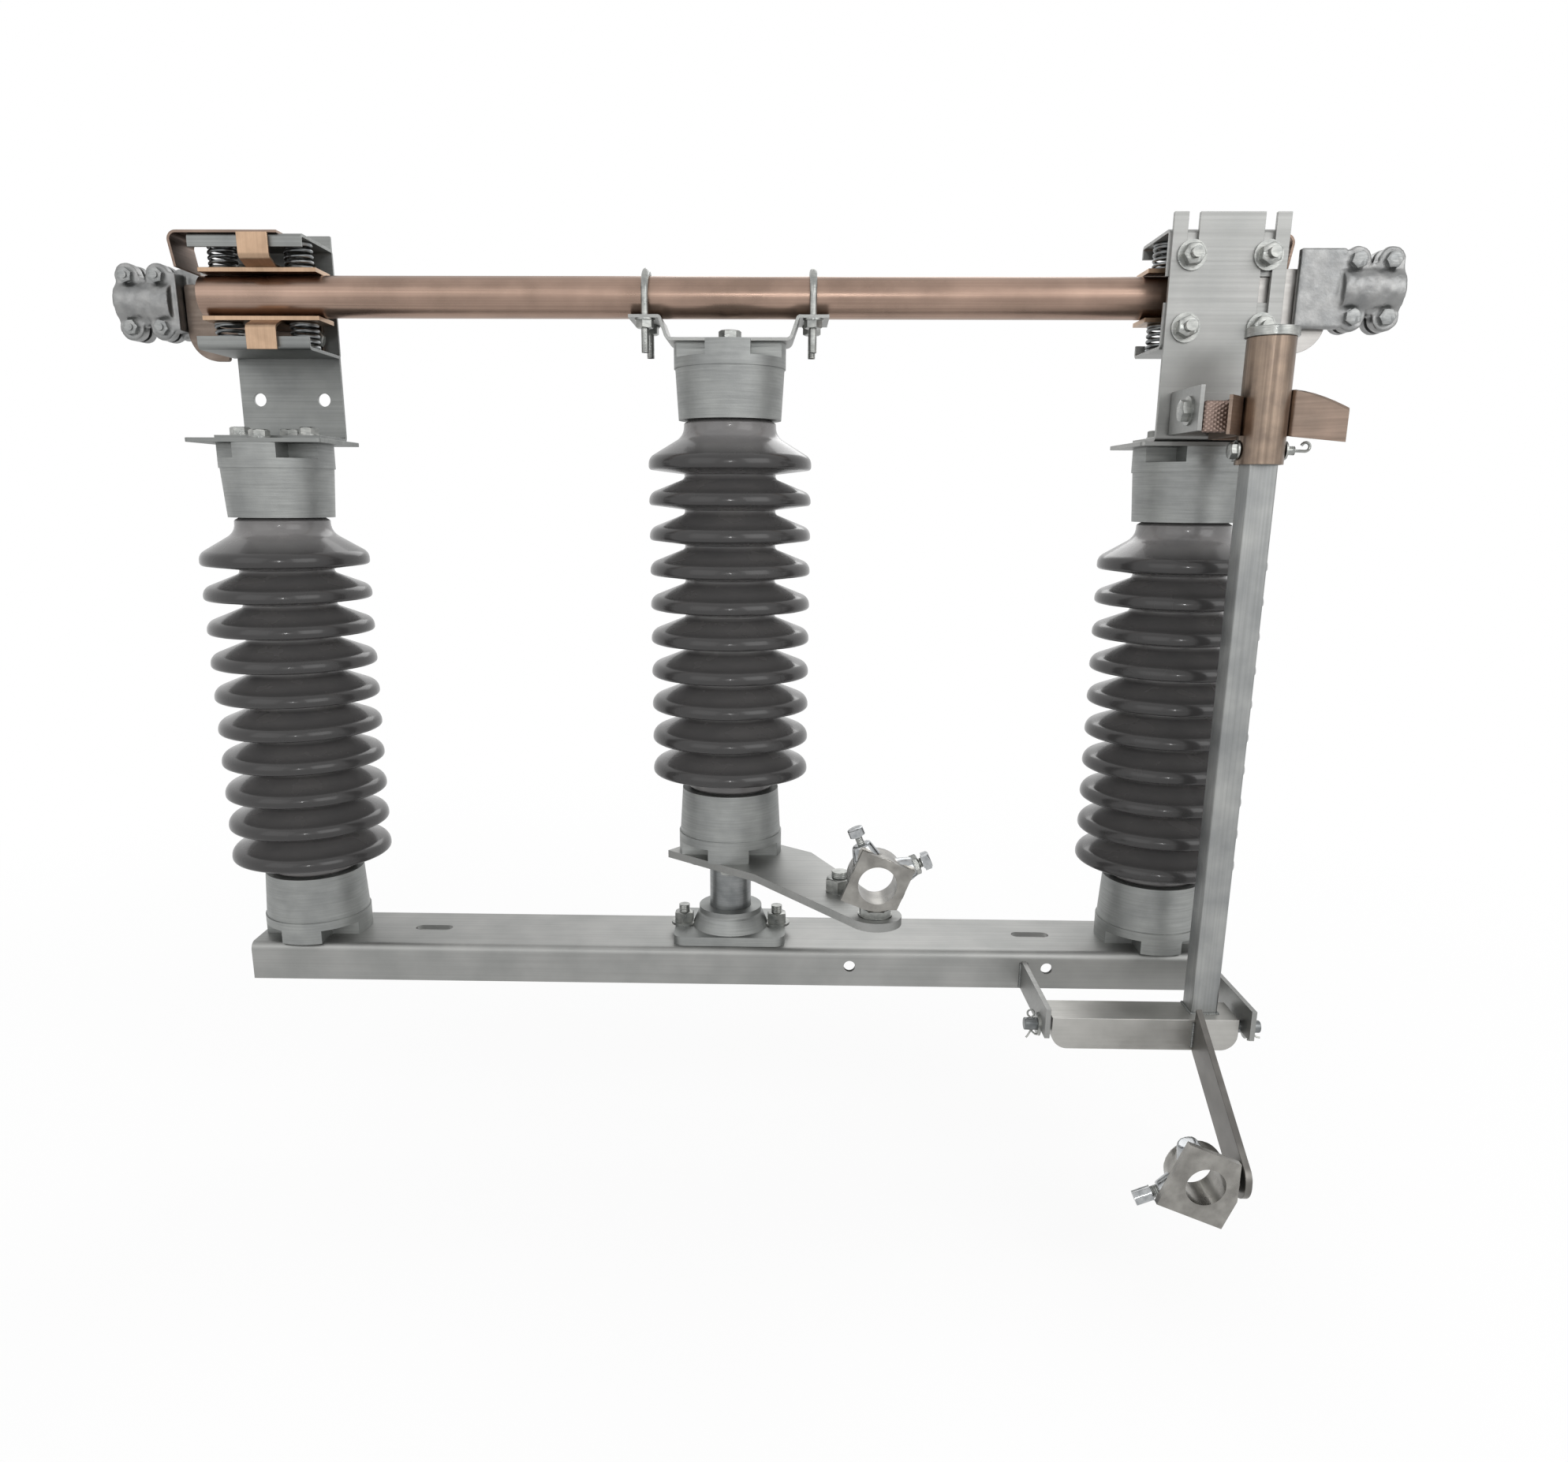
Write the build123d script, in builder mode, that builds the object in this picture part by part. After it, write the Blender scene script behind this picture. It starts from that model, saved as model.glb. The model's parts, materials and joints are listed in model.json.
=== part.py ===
"""One pole of a centre-rotating, double-break disconnect switch with an earth switch.

Millimetres, +Z up. The origin is the centre of the face under the base channel's web,
where the pole is bolted down. +X runs along the channel to the earth-switch end, and
-Y is the side that the earth blade falls towards.
"""
import os
from math import atan2, cos, hypot, radians, sin

from build123d import *

# ---- driving dimensions ---------------------------------------------------------------
# base channel, pressed from plate, web up
CHANNEL_LENGTH = 1010
CHANNEL_WIDTH = 100
CHANNEL_HEIGHT = 40
CHANNEL_WALL = 5
CHANNEL_BEND = 8            # outside radius of the two bends
SLOT_SPACING = 650          # fixing slots, centre to centre
SLOT_LENGTH = 40
SLOT_WIDTH = 14
FLANGE_HOLE_X = (127, 333)  # spare holes in the front flange
FLANGE_HOLE = 12
FLANGE_HOLE_DROP = 18       # below the top of the web

# post insulators
POST_INSET = 55             # axis of an outer post from the channel's end
POST_HEIGHT = 508
SHED_PITCH = 33.8
SHED_RADIUS = 80
SHED_TOP = 6.5              # corners of the rounded tip above and below its middle
SHED_UNDER = 4.6
SHED_TOP_FILLET = 7
SHED_UNDER_FILLET = 4
SHED_RISE = 20.6            # root of the upper slope above the tip
SHED_DROP = 9               # root of the underside below the tip
FIRST_SHED = 92             # lowest tip above the post's foot
SHED_ROOM = 40              # least height from the uppermost tip to the cap
CORE_RADIUS = 45
CORE_FILLET = 1.3           # root of an underside
SLOPE_FILLET = 4            # root of an upper slope
TOP_RISE = 27.4             # the uppermost shed is steeper and sweeps into the core
TOP_FILLET = 17
PIN_RADIUS = 40             # porcelain end inside a cap
CAP_HEIGHT = 70
CAP_FACE_RADIUS = 54        # at the mounting face
CAP_RIM_RADIUS = 50         # at the porcelain
CAP_STEP = 1.2              # machined ledge round the mounting end
CAP_STEP_HEIGHT = 23
CAP_FLOOR = 30              # metal between mounting face and porcelain
FOOT_WIDTH = 42             # the four feet of the mounting face
FOOT_HEIGHT = 14

# bearing and drive
HOUSING_LENGTH = 118
HOUSING_WIDTH = 88
HOUSING_FLANGE = 10
HOUSING_CORNER = 12
HOUSING_FOOT_RADIUS = 41
HOUSING_NECK_RADIUS = 33.5
HOUSING_HEIGHT = 32
HOUSING_FLOOR = 3
HOUSING_BOLT_X = 50
SHAFT_RADIUS = 22
PEDESTAL_HEIGHT = 94        # web to the foot of the centre post
LEVER_THICKNESS = 8
LEVER_ROOT = 94             # side of the square under the post
LEVER_ROOT_EXTRA = 26       # how far the root runs on towards the arm
LEVER_ROOT_TURN = -39       # direction of the root, degrees from +X
LEVER_PIVOT = (139, -190)   # where the rod clamp turns
LEVER_TIP_RADIUS = 24

# rod clamps, one on the drive lever and one on the crank
ROD_RADIUS = 17.2
CLAMP_RING = 26
CLAMP_LENGTH = 34
CLAMP_PLATE = 62            # side of the square face plate
CLAMP_PLATE_THICKNESS = 6
CLAMP_PLATE_TURN = 23       # a corner of the plate, degrees from the pivot
CLAMP_BOSS_TURNS = (113, 203)
CLAMP_BOSS_RADIUS = 10
CLAMP_BOSS_REACH = 34
CLAMP_NECK_RADIUS = 13
CLAMP_PIVOT_REACH = 33      # rod axis to the lever's face
CLAMP_PIVOT_RADIUS = 8
CLAMP_GUARD = 5             # face plate to the lever's face

# main blade
TUBE_RADIUS = 19
TUBE_WALL = 3
TUBE_PAST_JAW = 60          # tube end past the middle of the jaw
TUBE_RISE = 42              # tube axis above the centre post
SADDLE_WIDTH = 60
SADDLE_THICKNESS = 3
SADDLE_FOOT = 3             # the flat runs this far past the cap
SADDLE_SLOPE = 7            # from the flat's end to the lip, along the tube
SADDLE_LIP = 30             # length of a lip, with a U-bolt in its middle
U_BOLT_ROD = 3.5            # radius of the rod
U_BOLT_GAP = 0.2            # rod to tube
U_BOLT_LEG = 30             # leg below the saddle lip

# fixed contacts; both ends are alike, turned half round the post axis
SEAT_LENGTH = 130
SEAT_WIDTH = 104
SEAT_THICKNESS = 4
BRACKET_WIDTH = 104
BRACKET_HEIGHT = 196
BRACKET_WALL = 4
BRACKET_FACE_Y = 52         # outer face of the web from the tube's plane
BRACKET_FOOT = 70
BRACKET_BEND = 6            # outside radius of its bend
BRACKET_SLOT = 10
BRACKET_SLOT_DEPTH = (42, 88)   # inner and outer slot of the slotted one
BRACKET_SLOT_INSET = 18
BRACKET_HOLE = 13
BRACKET_HOLE_SPACING = 66
BRACKET_HOLE_RISE = 42
JAW_INSET = 5               # middle of the jaw inside the post's axis
HOOD_INSET = 49             # inner end of the hoods from the middle of the jaw
HOOD_LENGTH = 107
HOOD_WALL = 3
HOOD_RISE = 51              # outer face of the hood from the tube axis
HOOD_FRONT = 29             # front edge from the tube's plane
HOOD_LIP = 9
HOOD_LEG = 40
SHOE_LENGTH = 112
SHOE_WIDTH = 36
SHOE_THICKNESS = 4
CONTACT_GAP = 0.4           # shoe to tube, finger to blade
FINGER_WIDTH = 29
FINGER_SHIFT = 5            # middle of the strip inside the middle of the jaw
FINGER_THICKNESS = 2.5
FINGER_FACE_GAP = 1.5       # upright end of the strip in front of the hood
FINGER_KNEE = 5             # its knee past the shoe's outer face
FINGER_TAIL = 22            # back end of the strip, turned along the palm
SPRING_RADIUS = 13.5
SPRING_WALL = 4
SPRING_SPACING = 73
SPRING_SHIFT = 2.5          # middle of the springs outside the middle of the jaw
HORN_WIDTH = 46             # end stop strip, from the hood's front edge
HORN_REACH = 15             # past the end of the tube, at its top
HORN_FOOT_GAP = 10          # and at its foot
HORN_DROP = 29
PALM_THICKNESS = 5
PALM_TOP = 18               # above the tube axis
PALM_BOTTOM = 46
PALM_TOE = 54               # its outer end is deeper
PALM_TOE_GAP = 3            # deeper end past the hoods
PALM_CORNER = 28
PALM_REACH = 95             # outer end from the post's axis
PALM_INSET = 40             # inner end from the post's axis
PAD_THICKNESS = 10
PAD_GAP = 9                 # pad of the terminal past the hoods
PAD_HALF_HEIGHT = 35
PAD_OVERLAP = 4             # pad let into the terminal's block
TERMINAL_PALM_GAP = 3
TERMINAL_LENGTH = 60
TERMINAL_WEB = 4            # closed inner end that joins the two halves
TERMINAL_HALF_HEIGHT = 35
TERMINAL_DEPTH = 44
CONDUCTOR_RADIUS = 11
TERMINAL_GAP = 5            # between the two halves of the terminal
TERMINAL_CORNER = 6

# earth switch
EARTH_OFFSET = 16           # plane of the earth blade outside the post's axis
HINGE_REACH = 88            # hinge axis from the channel's face
HINGE_Z = -32
EARTH_BLADE_SETBACK = 14    # blade's axis behind the hinge axis
HINGE_PIN_RADIUS = 6
HINGE_PIN_END = 17          # pin past the middle of an arm
ARM_SPACING = 193.5         # between the middles of the two hinge arms
ARM_THICKNESS = 5
ARM_HEIGHT = 30
ARM_TOP_Z = -5
ARM_NOSE = 25               # arm past the hinge axis
BAR_GAP = 5                 # bar end to arm
BAR_NOSE = 12               # bar's front face past the hinge axis
BAR_DEPTH = 40
BAR_HEIGHT = 32
BAR_TOP_Z = -20
BAR_WALL = 4
BAR_CORNER = 16
PIPE_SIDE = 25
PIPE_WALL = 2
PIPE_IN_BLADE = 46          # length of the pipe inside the copper tube
BLADE_RADIUS = 20
BLADE_WALL = 2
BLADE_BELOW_CONTACT = 40    # ends of the copper tube from the contact's middle
BLADE_ABOVE_CONTACT = 64
BLADE_CAP_RADIUS = 22
BLADE_CAP_HEIGHT = 8
CRANK_INSET = 11            # plane of the crank inside the blade's
CRANK_THICKNESS = 6
CRANK_WIDTH = 36
CRANK_TOP_Z = -9
CRANK_REACH = 138           # rod clamp's pivot in front of the hinge axis
CRANK_DROP = 74             # and below it
EARTH_CONTACT_RISE = 21     # middle of the earth contact above the post
EARTH_CONTACT_HEIGHT = 32
EARTH_FINGER_THICKNESS = 3
EARTH_FINGER_NOSE = 6       # straight finger past the blade's axis
EARTH_FLARE_NOSE = 28       # flared end past the blade's axis
EARTH_FLARE = (18, 32)      # outward, at the left and right finger
EARTH_PLATE_THICKNESS = 4
EARTH_PLATE_HEIGHT = 38
EARTH_PLATE_LIFT = 7        # middle of the plate above the contact's
EARTH_PLATE_INSET = 42      # plate from the post's axis, inwards and outwards
EARTH_PLATE_REACH = 34

RUN_CLEARANCE = 0.05        # shaft and pivots in their bores, radial
SEAT_GAP = 0.3              # between a turning face and its seat

# ---- places worked out from the sizes -----------------------------------------------
POST_X = CHANNEL_LENGTH / 2 - POST_INSET
SHED_COUNT = 1 + int((POST_HEIGHT - CAP_HEIGHT - SHED_ROOM - FIRST_SHED) / SHED_PITCH)
WEB_TOP = CHANNEL_WALL
POST_TOP = WEB_TOP + POST_HEIGHT
LEVER_TOP = WEB_TOP + PEDESTAL_HEIGHT
CENTRE_TOP = LEVER_TOP + POST_HEIGHT
TUBE_Z = CENTRE_TOP + TUBE_RISE
CHANNEL_EDGE_Z = WEB_TOP - CHANNEL_HEIGHT
SEAT_TOP = POST_TOP + SEAT_THICKNESS
LIP_TOP = TUBE_Z - TUBE_RADIUS
JAW_X = POST_X - JAW_INSET
TUBE_END = JAW_X + TUBE_PAST_JAW
HOOD_START = JAW_X - HOOD_INSET
HOOD_END = HOOD_START + HOOD_LENGTH
TERMINAL_START = POST_X + PALM_REACH + TERMINAL_PALM_GAP
CHANNEL_FACE_Y = -CHANNEL_WIDTH / 2
HINGE_Y = CHANNEL_FACE_Y - HINGE_REACH
EARTH_X = POST_X + EARTH_OFFSET
EARTH_BLADE_Y = HINGE_Y + EARTH_BLADE_SETBACK
EARTH_CONTACT_Z = POST_TOP + EARTH_CONTACT_RISE
EARTH_FINGER_END_Y = EARTH_BLADE_Y - EARTH_FINGER_NOSE
BLADE_BOTTOM_Z = EARTH_CONTACT_Z - BLADE_BELOW_CONTACT
BLADE_TOP_Z = EARTH_CONTACT_Z + BLADE_ABOVE_CONTACT
PIPE_TOP_Z = BLADE_BOTTOM_Z + PIPE_IN_BLADE
RIGHT_ARM_X = CHANNEL_LENGTH / 2 - ARM_THICKNESS / 2
ARM_X = (RIGHT_ARM_X - ARM_SPACING, RIGHT_ARM_X)
BAR_FRONT_Y = HINGE_Y - BAR_NOSE
CRANK_X = EARTH_X - CRANK_INSET
CRANK_PIVOT = (HINGE_Y - CRANK_REACH, HINGE_Z - CRANK_DROP)


def save(part, node):
    """Name one finished piece and write its file."""
    part.label = node
    export_step(part, f"parts/{node}.step")


os.makedirs("parts", exist_ok=True)

# ---- base channel ------------------------------------------------------------------------
with BuildPart() as base_channel:
    with BuildSketch(Plane.YZ.offset(-CHANNEL_LENGTH / 2)):
        with Locations((0, WEB_TOP - CHANNEL_HEIGHT / 2)):
            RectangleRounded(CHANNEL_WIDTH, CHANNEL_HEIGHT, CHANNEL_BEND)
        with Locations((0, CHANNEL_EDGE_Z + CHANNEL_BEND / 2)):
            Rectangle(CHANNEL_WIDTH, CHANNEL_BEND)
        inner_width = CHANNEL_WIDTH - 2 * CHANNEL_WALL
        with Locations((0, -CHANNEL_HEIGHT / 2)):
            RectangleRounded(inner_width, CHANNEL_HEIGHT, CHANNEL_BEND - CHANNEL_WALL, mode=Mode.SUBTRACT)
        with Locations((0, CHANNEL_EDGE_Z)):
            Rectangle(inner_width, CHANNEL_HEIGHT, mode=Mode.SUBTRACT)
    extrude(amount=CHANNEL_LENGTH)
    with BuildSketch(Plane.XY):
        with GridLocations(SLOT_SPACING, 1, 2, 1):
            SlotOverall(SLOT_LENGTH, SLOT_WIDTH)
    extrude(amount=WEB_TOP, mode=Mode.SUBTRACT)
    with BuildSketch(Plane.XZ.offset(CHANNEL_WIDTH / 2)):
        with Locations(*[(x, WEB_TOP - FLANGE_HOLE_DROP) for x in FLANGE_HOLE_X]):
            Circle(FLANGE_HOLE / 2)
    extrude(amount=-CHANNEL_WALL, mode=Mode.SUBTRACT)
save(base_channel.part, "base_channel")


# ---- post insulators -------------------------------------------------------------------
def shed_outline():
    """Outline of the porcelain from its lower to its upper end: corners and their radii."""
    corners = [
        (PIN_RADIUS, CAP_FLOOR, 0),
        (PIN_RADIUS, CAP_HEIGHT, 0),
        (CORE_RADIUS, CAP_HEIGHT + 3, 2),
    ]
    for shed in range(SHED_COUNT):
        tip_z = FIRST_SHED + shed * SHED_PITCH
        last = shed == SHED_COUNT - 1
        corners += [
            (CORE_RADIUS, tip_z - SHED_DROP, CORE_FILLET),
            (SHED_RADIUS, tip_z - SHED_UNDER, SHED_UNDER_FILLET),
            (SHED_RADIUS, tip_z + SHED_TOP, SHED_TOP_FILLET),
            (CORE_RADIUS, tip_z + (TOP_RISE if last else SHED_RISE),
             TOP_FILLET if last else SLOPE_FILLET),
        ]
    corners += [
        (CORE_RADIUS, POST_HEIGHT - CAP_HEIGHT - 3, 2),
        (PIN_RADIUS, POST_HEIGHT - CAP_HEIGHT, 0),
        (PIN_RADIUS, POST_HEIGHT - CAP_FLOOR, 0),
    ]
    return corners


def post_plane(x, foot_z):
    """Upright plane through a post's axis, its origin at the post's foot."""
    return Plane(origin=(x, 0, foot_z), x_dir=(1, 0, 0), z_dir=(0, -1, 0))


def make_porcelain(x, foot_z):
    """Solid porcelain core with its sheds, turned in one piece and glazed."""
    corners = shed_outline()
    with BuildPart() as porcelain:
        with BuildSketch(post_plane(x, foot_z)):
            with BuildLine():
                FilletPolyline(*[(r, z) for r, z, _ in corners], radius=[c[2] for c in corners[1:-1]])
                first, last = corners[0], corners[-1]
                Polyline((first[0], first[1]), (0, first[1]), (0, last[1]), (last[0], last[1]))
            make_face()
        revolve(axis=Axis((x, 0, foot_z), (0, 0, 1)))
    return porcelain.part


def make_cap(x, face_z, up):
    """Cast cap; its mounting face looks up (up = 1) or down (up = -1)."""
    plane = Plane(origin=(x, 0, face_z), x_dir=(1, 0, 0), z_dir=(0, -up, 0))
    with BuildPart() as cap:
        with BuildSketch(plane):
            with BuildLine():
                Polyline(
                    (0, 0), (CAP_FACE_RADIUS, 0), (CAP_FACE_RADIUS, -CAP_STEP_HEIGHT),
                    (CAP_FACE_RADIUS - CAP_STEP, -CAP_STEP_HEIGHT), (CAP_RIM_RADIUS, -CAP_HEIGHT),
                    (PIN_RADIUS + SEAT_GAP, -CAP_HEIGHT), (PIN_RADIUS + SEAT_GAP, -CAP_FLOOR),
                    (0, -CAP_FLOOR), close=True,
                )
            make_face()
        revolve(axis=Axis((x, 0, face_z), (0, 0, 1)))
        with BuildSketch(Plane.XY.offset(face_z)):
            with Locations((x, 0)):
                Circle(CAP_FACE_RADIUS + 1)
                Rectangle(2 * CAP_FACE_RADIUS + 4, FOOT_WIDTH, mode=Mode.SUBTRACT)
                Rectangle(FOOT_WIDTH, 2 * CAP_FACE_RADIUS + 4, mode=Mode.SUBTRACT)
        extrude(amount=-up * FOOT_HEIGHT, mode=Mode.SUBTRACT)
    return cap.part


POSTS = {"left": (-POST_X, WEB_TOP), "centre": (0, LEVER_TOP), "right": (POST_X, WEB_TOP)}
for name, (x, foot_z) in POSTS.items():
    save(make_porcelain(x, foot_z), f"{name}_porcelain")
    save(make_cap(x, foot_z, -1), f"{name}_lower_cap")
    save(make_cap(x, foot_z + POST_HEIGHT, 1), f"{name}_upper_cap")

# ---- bearing housing and drive shaft --------------------------------------------------
housing_top = WEB_TOP + HOUSING_HEIGHT
with BuildPart() as bearing_housing:
    with BuildSketch(Plane.XY.offset(WEB_TOP)):
        RectangleRounded(HOUSING_LENGTH, HOUSING_WIDTH, HOUSING_CORNER)
        with GridLocations(2 * HOUSING_BOLT_X, 1, 2, 1):
            Circle(6.5, mode=Mode.SUBTRACT)
    extrude(amount=HOUSING_FLANGE)
    with BuildSketch(Plane.XZ):
        with BuildLine():
            FilletPolyline(
                (HOUSING_NECK_RADIUS, housing_top), (HOUSING_NECK_RADIUS, housing_top - 6),
                (HOUSING_NECK_RADIUS + 1.5, housing_top - 8),
                (HOUSING_FOOT_RADIUS, WEB_TOP + HOUSING_FLANGE), radius=1.5,
            )
            Polyline(
                (HOUSING_FOOT_RADIUS, WEB_TOP + HOUSING_FLANGE), (HOUSING_FOOT_RADIUS, WEB_TOP + 2),
                (0, WEB_TOP + 2), (0, housing_top), (HOUSING_NECK_RADIUS, housing_top),
            )
        make_face()
    revolve(axis=Axis.Z)
    with Locations((0, 0, housing_top)):
        Hole(SHAFT_RADIUS + RUN_CLEARANCE, depth=HOUSING_HEIGHT - HOUSING_FLOOR)
save(bearing_housing.part, "bearing_housing")

with BuildPart() as drive_shaft:
    with BuildSketch(Plane.XY.offset(WEB_TOP + HOUSING_FLOOR + SEAT_GAP)):
        Circle(SHAFT_RADIUS)
    extrude(until=None, amount=LEVER_TOP - LEVER_THICKNESS - WEB_TOP - HOUSING_FLOOR - SEAT_GAP)
save(drive_shaft.part, "drive_shaft")


def tangent_point(corner, centre, radius, side):
    """Where the line from a corner touches a circle, on its left (1) or right (-1) side."""
    dx, dy = centre[0] - corner[0], centre[1] - corner[1]
    distance = hypot(dx, dy)
    reach = (distance**2 - radius**2) ** 0.5
    turn = atan2(dy, dx) + side * atan2(radius, reach)
    return corner[0] + reach * cos(turn), corner[1] + reach * sin(turn)


root_plane = Plane.XY.offset(LEVER_TOP - LEVER_THICKNESS)
root = radians(LEVER_ROOT_TURN)
along, across = (cos(root), sin(root)), (-sin(root), cos(root))


def root_corner(forward, sideways):
    """A corner of the lever's root, given along and across its own direction."""
    return (
        forward * along[0] + sideways * across[0],
        forward * along[1] + sideways * across[1],
    )


half_root = LEVER_ROOT / 2
left_root = root_corner(half_root + LEVER_ROOT_EXTRA, half_root)
right_root = root_corner(half_root + LEVER_ROOT_EXTRA, -half_root)
with BuildPart() as drive_lever:
    with BuildSketch(root_plane):
        with BuildLine():
            Polyline(
                root_corner(-half_root, half_root), left_root,
                tangent_point(left_root, LEVER_PIVOT, LEVER_TIP_RADIUS, 1),
                tangent_point(right_root, LEVER_PIVOT, LEVER_TIP_RADIUS, -1),
                right_root, root_corner(-half_root, -half_root), close=True,
            )
        make_face()
        with Locations(LEVER_PIVOT):
            Circle(LEVER_TIP_RADIUS)
            Circle(CLAMP_PIVOT_RADIUS + RUN_CLEARANCE, mode=Mode.SUBTRACT)
    extrude(amount=LEVER_THICKNESS)
save(drive_lever.part, "drive_lever")


# ---- rod clamps --------------------------------------------------------------------------
def make_rod_clamp(plane, pin_length):
    """Clamp for an operating rod. In the plane, x points at its pivot and z along the rod."""
    with BuildPart() as clamp:
        with BuildSketch(plane.offset(-CLAMP_LENGTH / 2)):
            Circle(CLAMP_RING)
        extrude(amount=CLAMP_LENGTH)
        with BuildSketch(plane.offset(CLAMP_LENGTH / 2 - CLAMP_PLATE_THICKNESS)):
            Rectangle(CLAMP_PLATE, CLAMP_PLATE, rotation=CLAMP_PLATE_TURN + 45)
            guard = CLAMP_PIVOT_REACH - CLAMP_GUARD
            with Locations((guard + CLAMP_PLATE / 2, 0)):
                Rectangle(CLAMP_PLATE, 2 * CLAMP_PLATE, mode=Mode.SUBTRACT)
        extrude(amount=CLAMP_PLATE_THICKNESS)
        for turn in CLAMP_BOSS_TURNS:
            boss_plane = Plane(
                origin=plane.origin,
                x_dir=plane.z_dir,
                z_dir=plane.x_dir * cos(radians(turn)) + plane.y_dir * sin(radians(turn)),
            )
            with BuildSketch(boss_plane):
                Circle(CLAMP_BOSS_RADIUS)
            extrude(amount=CLAMP_BOSS_REACH)
        pivot_plane = Plane(origin=plane.origin, x_dir=plane.z_dir, z_dir=plane.x_dir)
        with BuildSketch(pivot_plane):
            Circle(CLAMP_NECK_RADIUS)
        extrude(amount=CLAMP_PIVOT_REACH - SEAT_GAP)
        with BuildSketch(pivot_plane):
            Circle(CLAMP_PIVOT_RADIUS)
        extrude(amount=CLAMP_PIVOT_REACH + pin_length)
        with BuildSketch(plane.offset(-CLAMP_LENGTH)):
            Circle(ROD_RADIUS)
        extrude(amount=2 * CLAMP_LENGTH, mode=Mode.SUBTRACT)
    return clamp.part


drive_rod_z = LEVER_TOP + CLAMP_PIVOT_REACH
drive_clamp = make_rod_clamp(
    Plane(origin=(*LEVER_PIVOT, drive_rod_z), x_dir=(0, 0, -1), z_dir=(0, -1, 0)),
    LEVER_THICKNESS + 4,
)
save(drive_clamp, "drive_rod_clamp")

crank_face_x = CRANK_X - CRANK_THICKNESS / 2
crank_clamp = make_rod_clamp(
    Plane(origin=(crank_face_x - CLAMP_PIVOT_REACH, *CRANK_PIVOT), x_dir=(1, 0, 0), z_dir=(0, -1, 0)),
    CRANK_THICKNESS + 4,
)
save(crank_clamp, "crank_rod_clamp")

# ---- main blade ----------------------------------------------------------------------------
saddle_foot = CAP_FACE_RADIUS + SADDLE_FOOT
lip_start = saddle_foot + SADDLE_SLOPE
u_bolt_x = lip_start + SADDLE_LIP / 2
with BuildPart() as blade_saddle:
    with BuildSketch(Plane.XZ.offset(-SADDLE_WIDTH / 2)):
        with BuildLine():
            half = [
                (lip_start + SADDLE_LIP, LIP_TOP),
                (lip_start, LIP_TOP),
                (saddle_foot, CENTRE_TOP + SADDLE_THICKNESS),
            ]
            mirrored = [(-x, z) for x, z in reversed(half)]
            FilletPolyline(*half, *mirrored, radius=4)
            offset(amount=SADDLE_THICKNESS, side=Side.LEFT)
        make_face()
    extrude(amount=SADDLE_WIDTH)
    leg_y = TUBE_RADIUS + U_BOLT_GAP + U_BOLT_ROD
    with BuildSketch(Plane.XY.offset(LIP_TOP - SADDLE_THICKNESS)):
        with GridLocations(2 * u_bolt_x, 2 * leg_y, 2, 2):
            Circle(U_BOLT_ROD + 0.2)
    extrude(amount=SADDLE_THICKNESS, mode=Mode.SUBTRACT)
save(blade_saddle.part, "blade_saddle")

for name, x in {"left": -u_bolt_x, "right": u_bolt_x}.items():
    leg_end = LIP_TOP - SADDLE_THICKNESS - U_BOLT_LEG
    with BuildPart() as u_bolt:
        with BuildLine(Plane.YZ.offset(x)) as bend:
            Line((-leg_y, leg_end), (-leg_y, TUBE_Z))
            CenterArc((0, TUBE_Z), leg_y, 0, 180)
            Line((leg_y, TUBE_Z), (leg_y, leg_end))
        with BuildSketch(Plane.XY.offset(leg_end)):
            with Locations((x, -leg_y)):
                Circle(U_BOLT_ROD)
        sweep(path=bend.wires()[0])
    save(u_bolt.part, f"{name}_u_bolt")

with BuildPart() as blade_tube:
    with BuildSketch(Plane.YZ.offset(-TUBE_END)):
        with Locations((0, TUBE_Z)):
            Circle(TUBE_RADIUS)
            Circle(TUBE_RADIUS - TUBE_WALL, mode=Mode.SUBTRACT)
    extrude(amount=2 * TUBE_END)
save(blade_tube.part, "blade_tube")

# ---- fixed contacts ---------------------------------------------------------------------
# built at the right-hand post, jaw open to +Y; the left-hand ones are turned half round
hood_plate_y = BRACKET_FACE_Y - BRACKET_WALL - HOOD_WALL
bracket_foot_z = SEAT_TOP
bracket_top_z = SEAT_TOP + BRACKET_HEIGHT
shoe_outer = TUBE_RADIUS + CONTACT_GAP + SHOE_THICKNESS
hood_inner = HOOD_RISE - HOOD_WALL


def save_contact(part, name):
    """Save a contact piece at the right-hand post and its twin at the left-hand post."""
    save(part, f"right_{name}")
    save(part.rotate(Axis.Z, 180), f"left_{name}")


with BuildPart() as seat_plate:
    with BuildSketch(Plane.XY.offset(POST_TOP)):
        with Locations((POST_X, 0)):
            RectangleRounded(SEAT_LENGTH, SEAT_WIDTH, 4)
    extrude(amount=SEAT_THICKNESS)
save_contact(seat_plate.part, "seat_plate")


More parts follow.
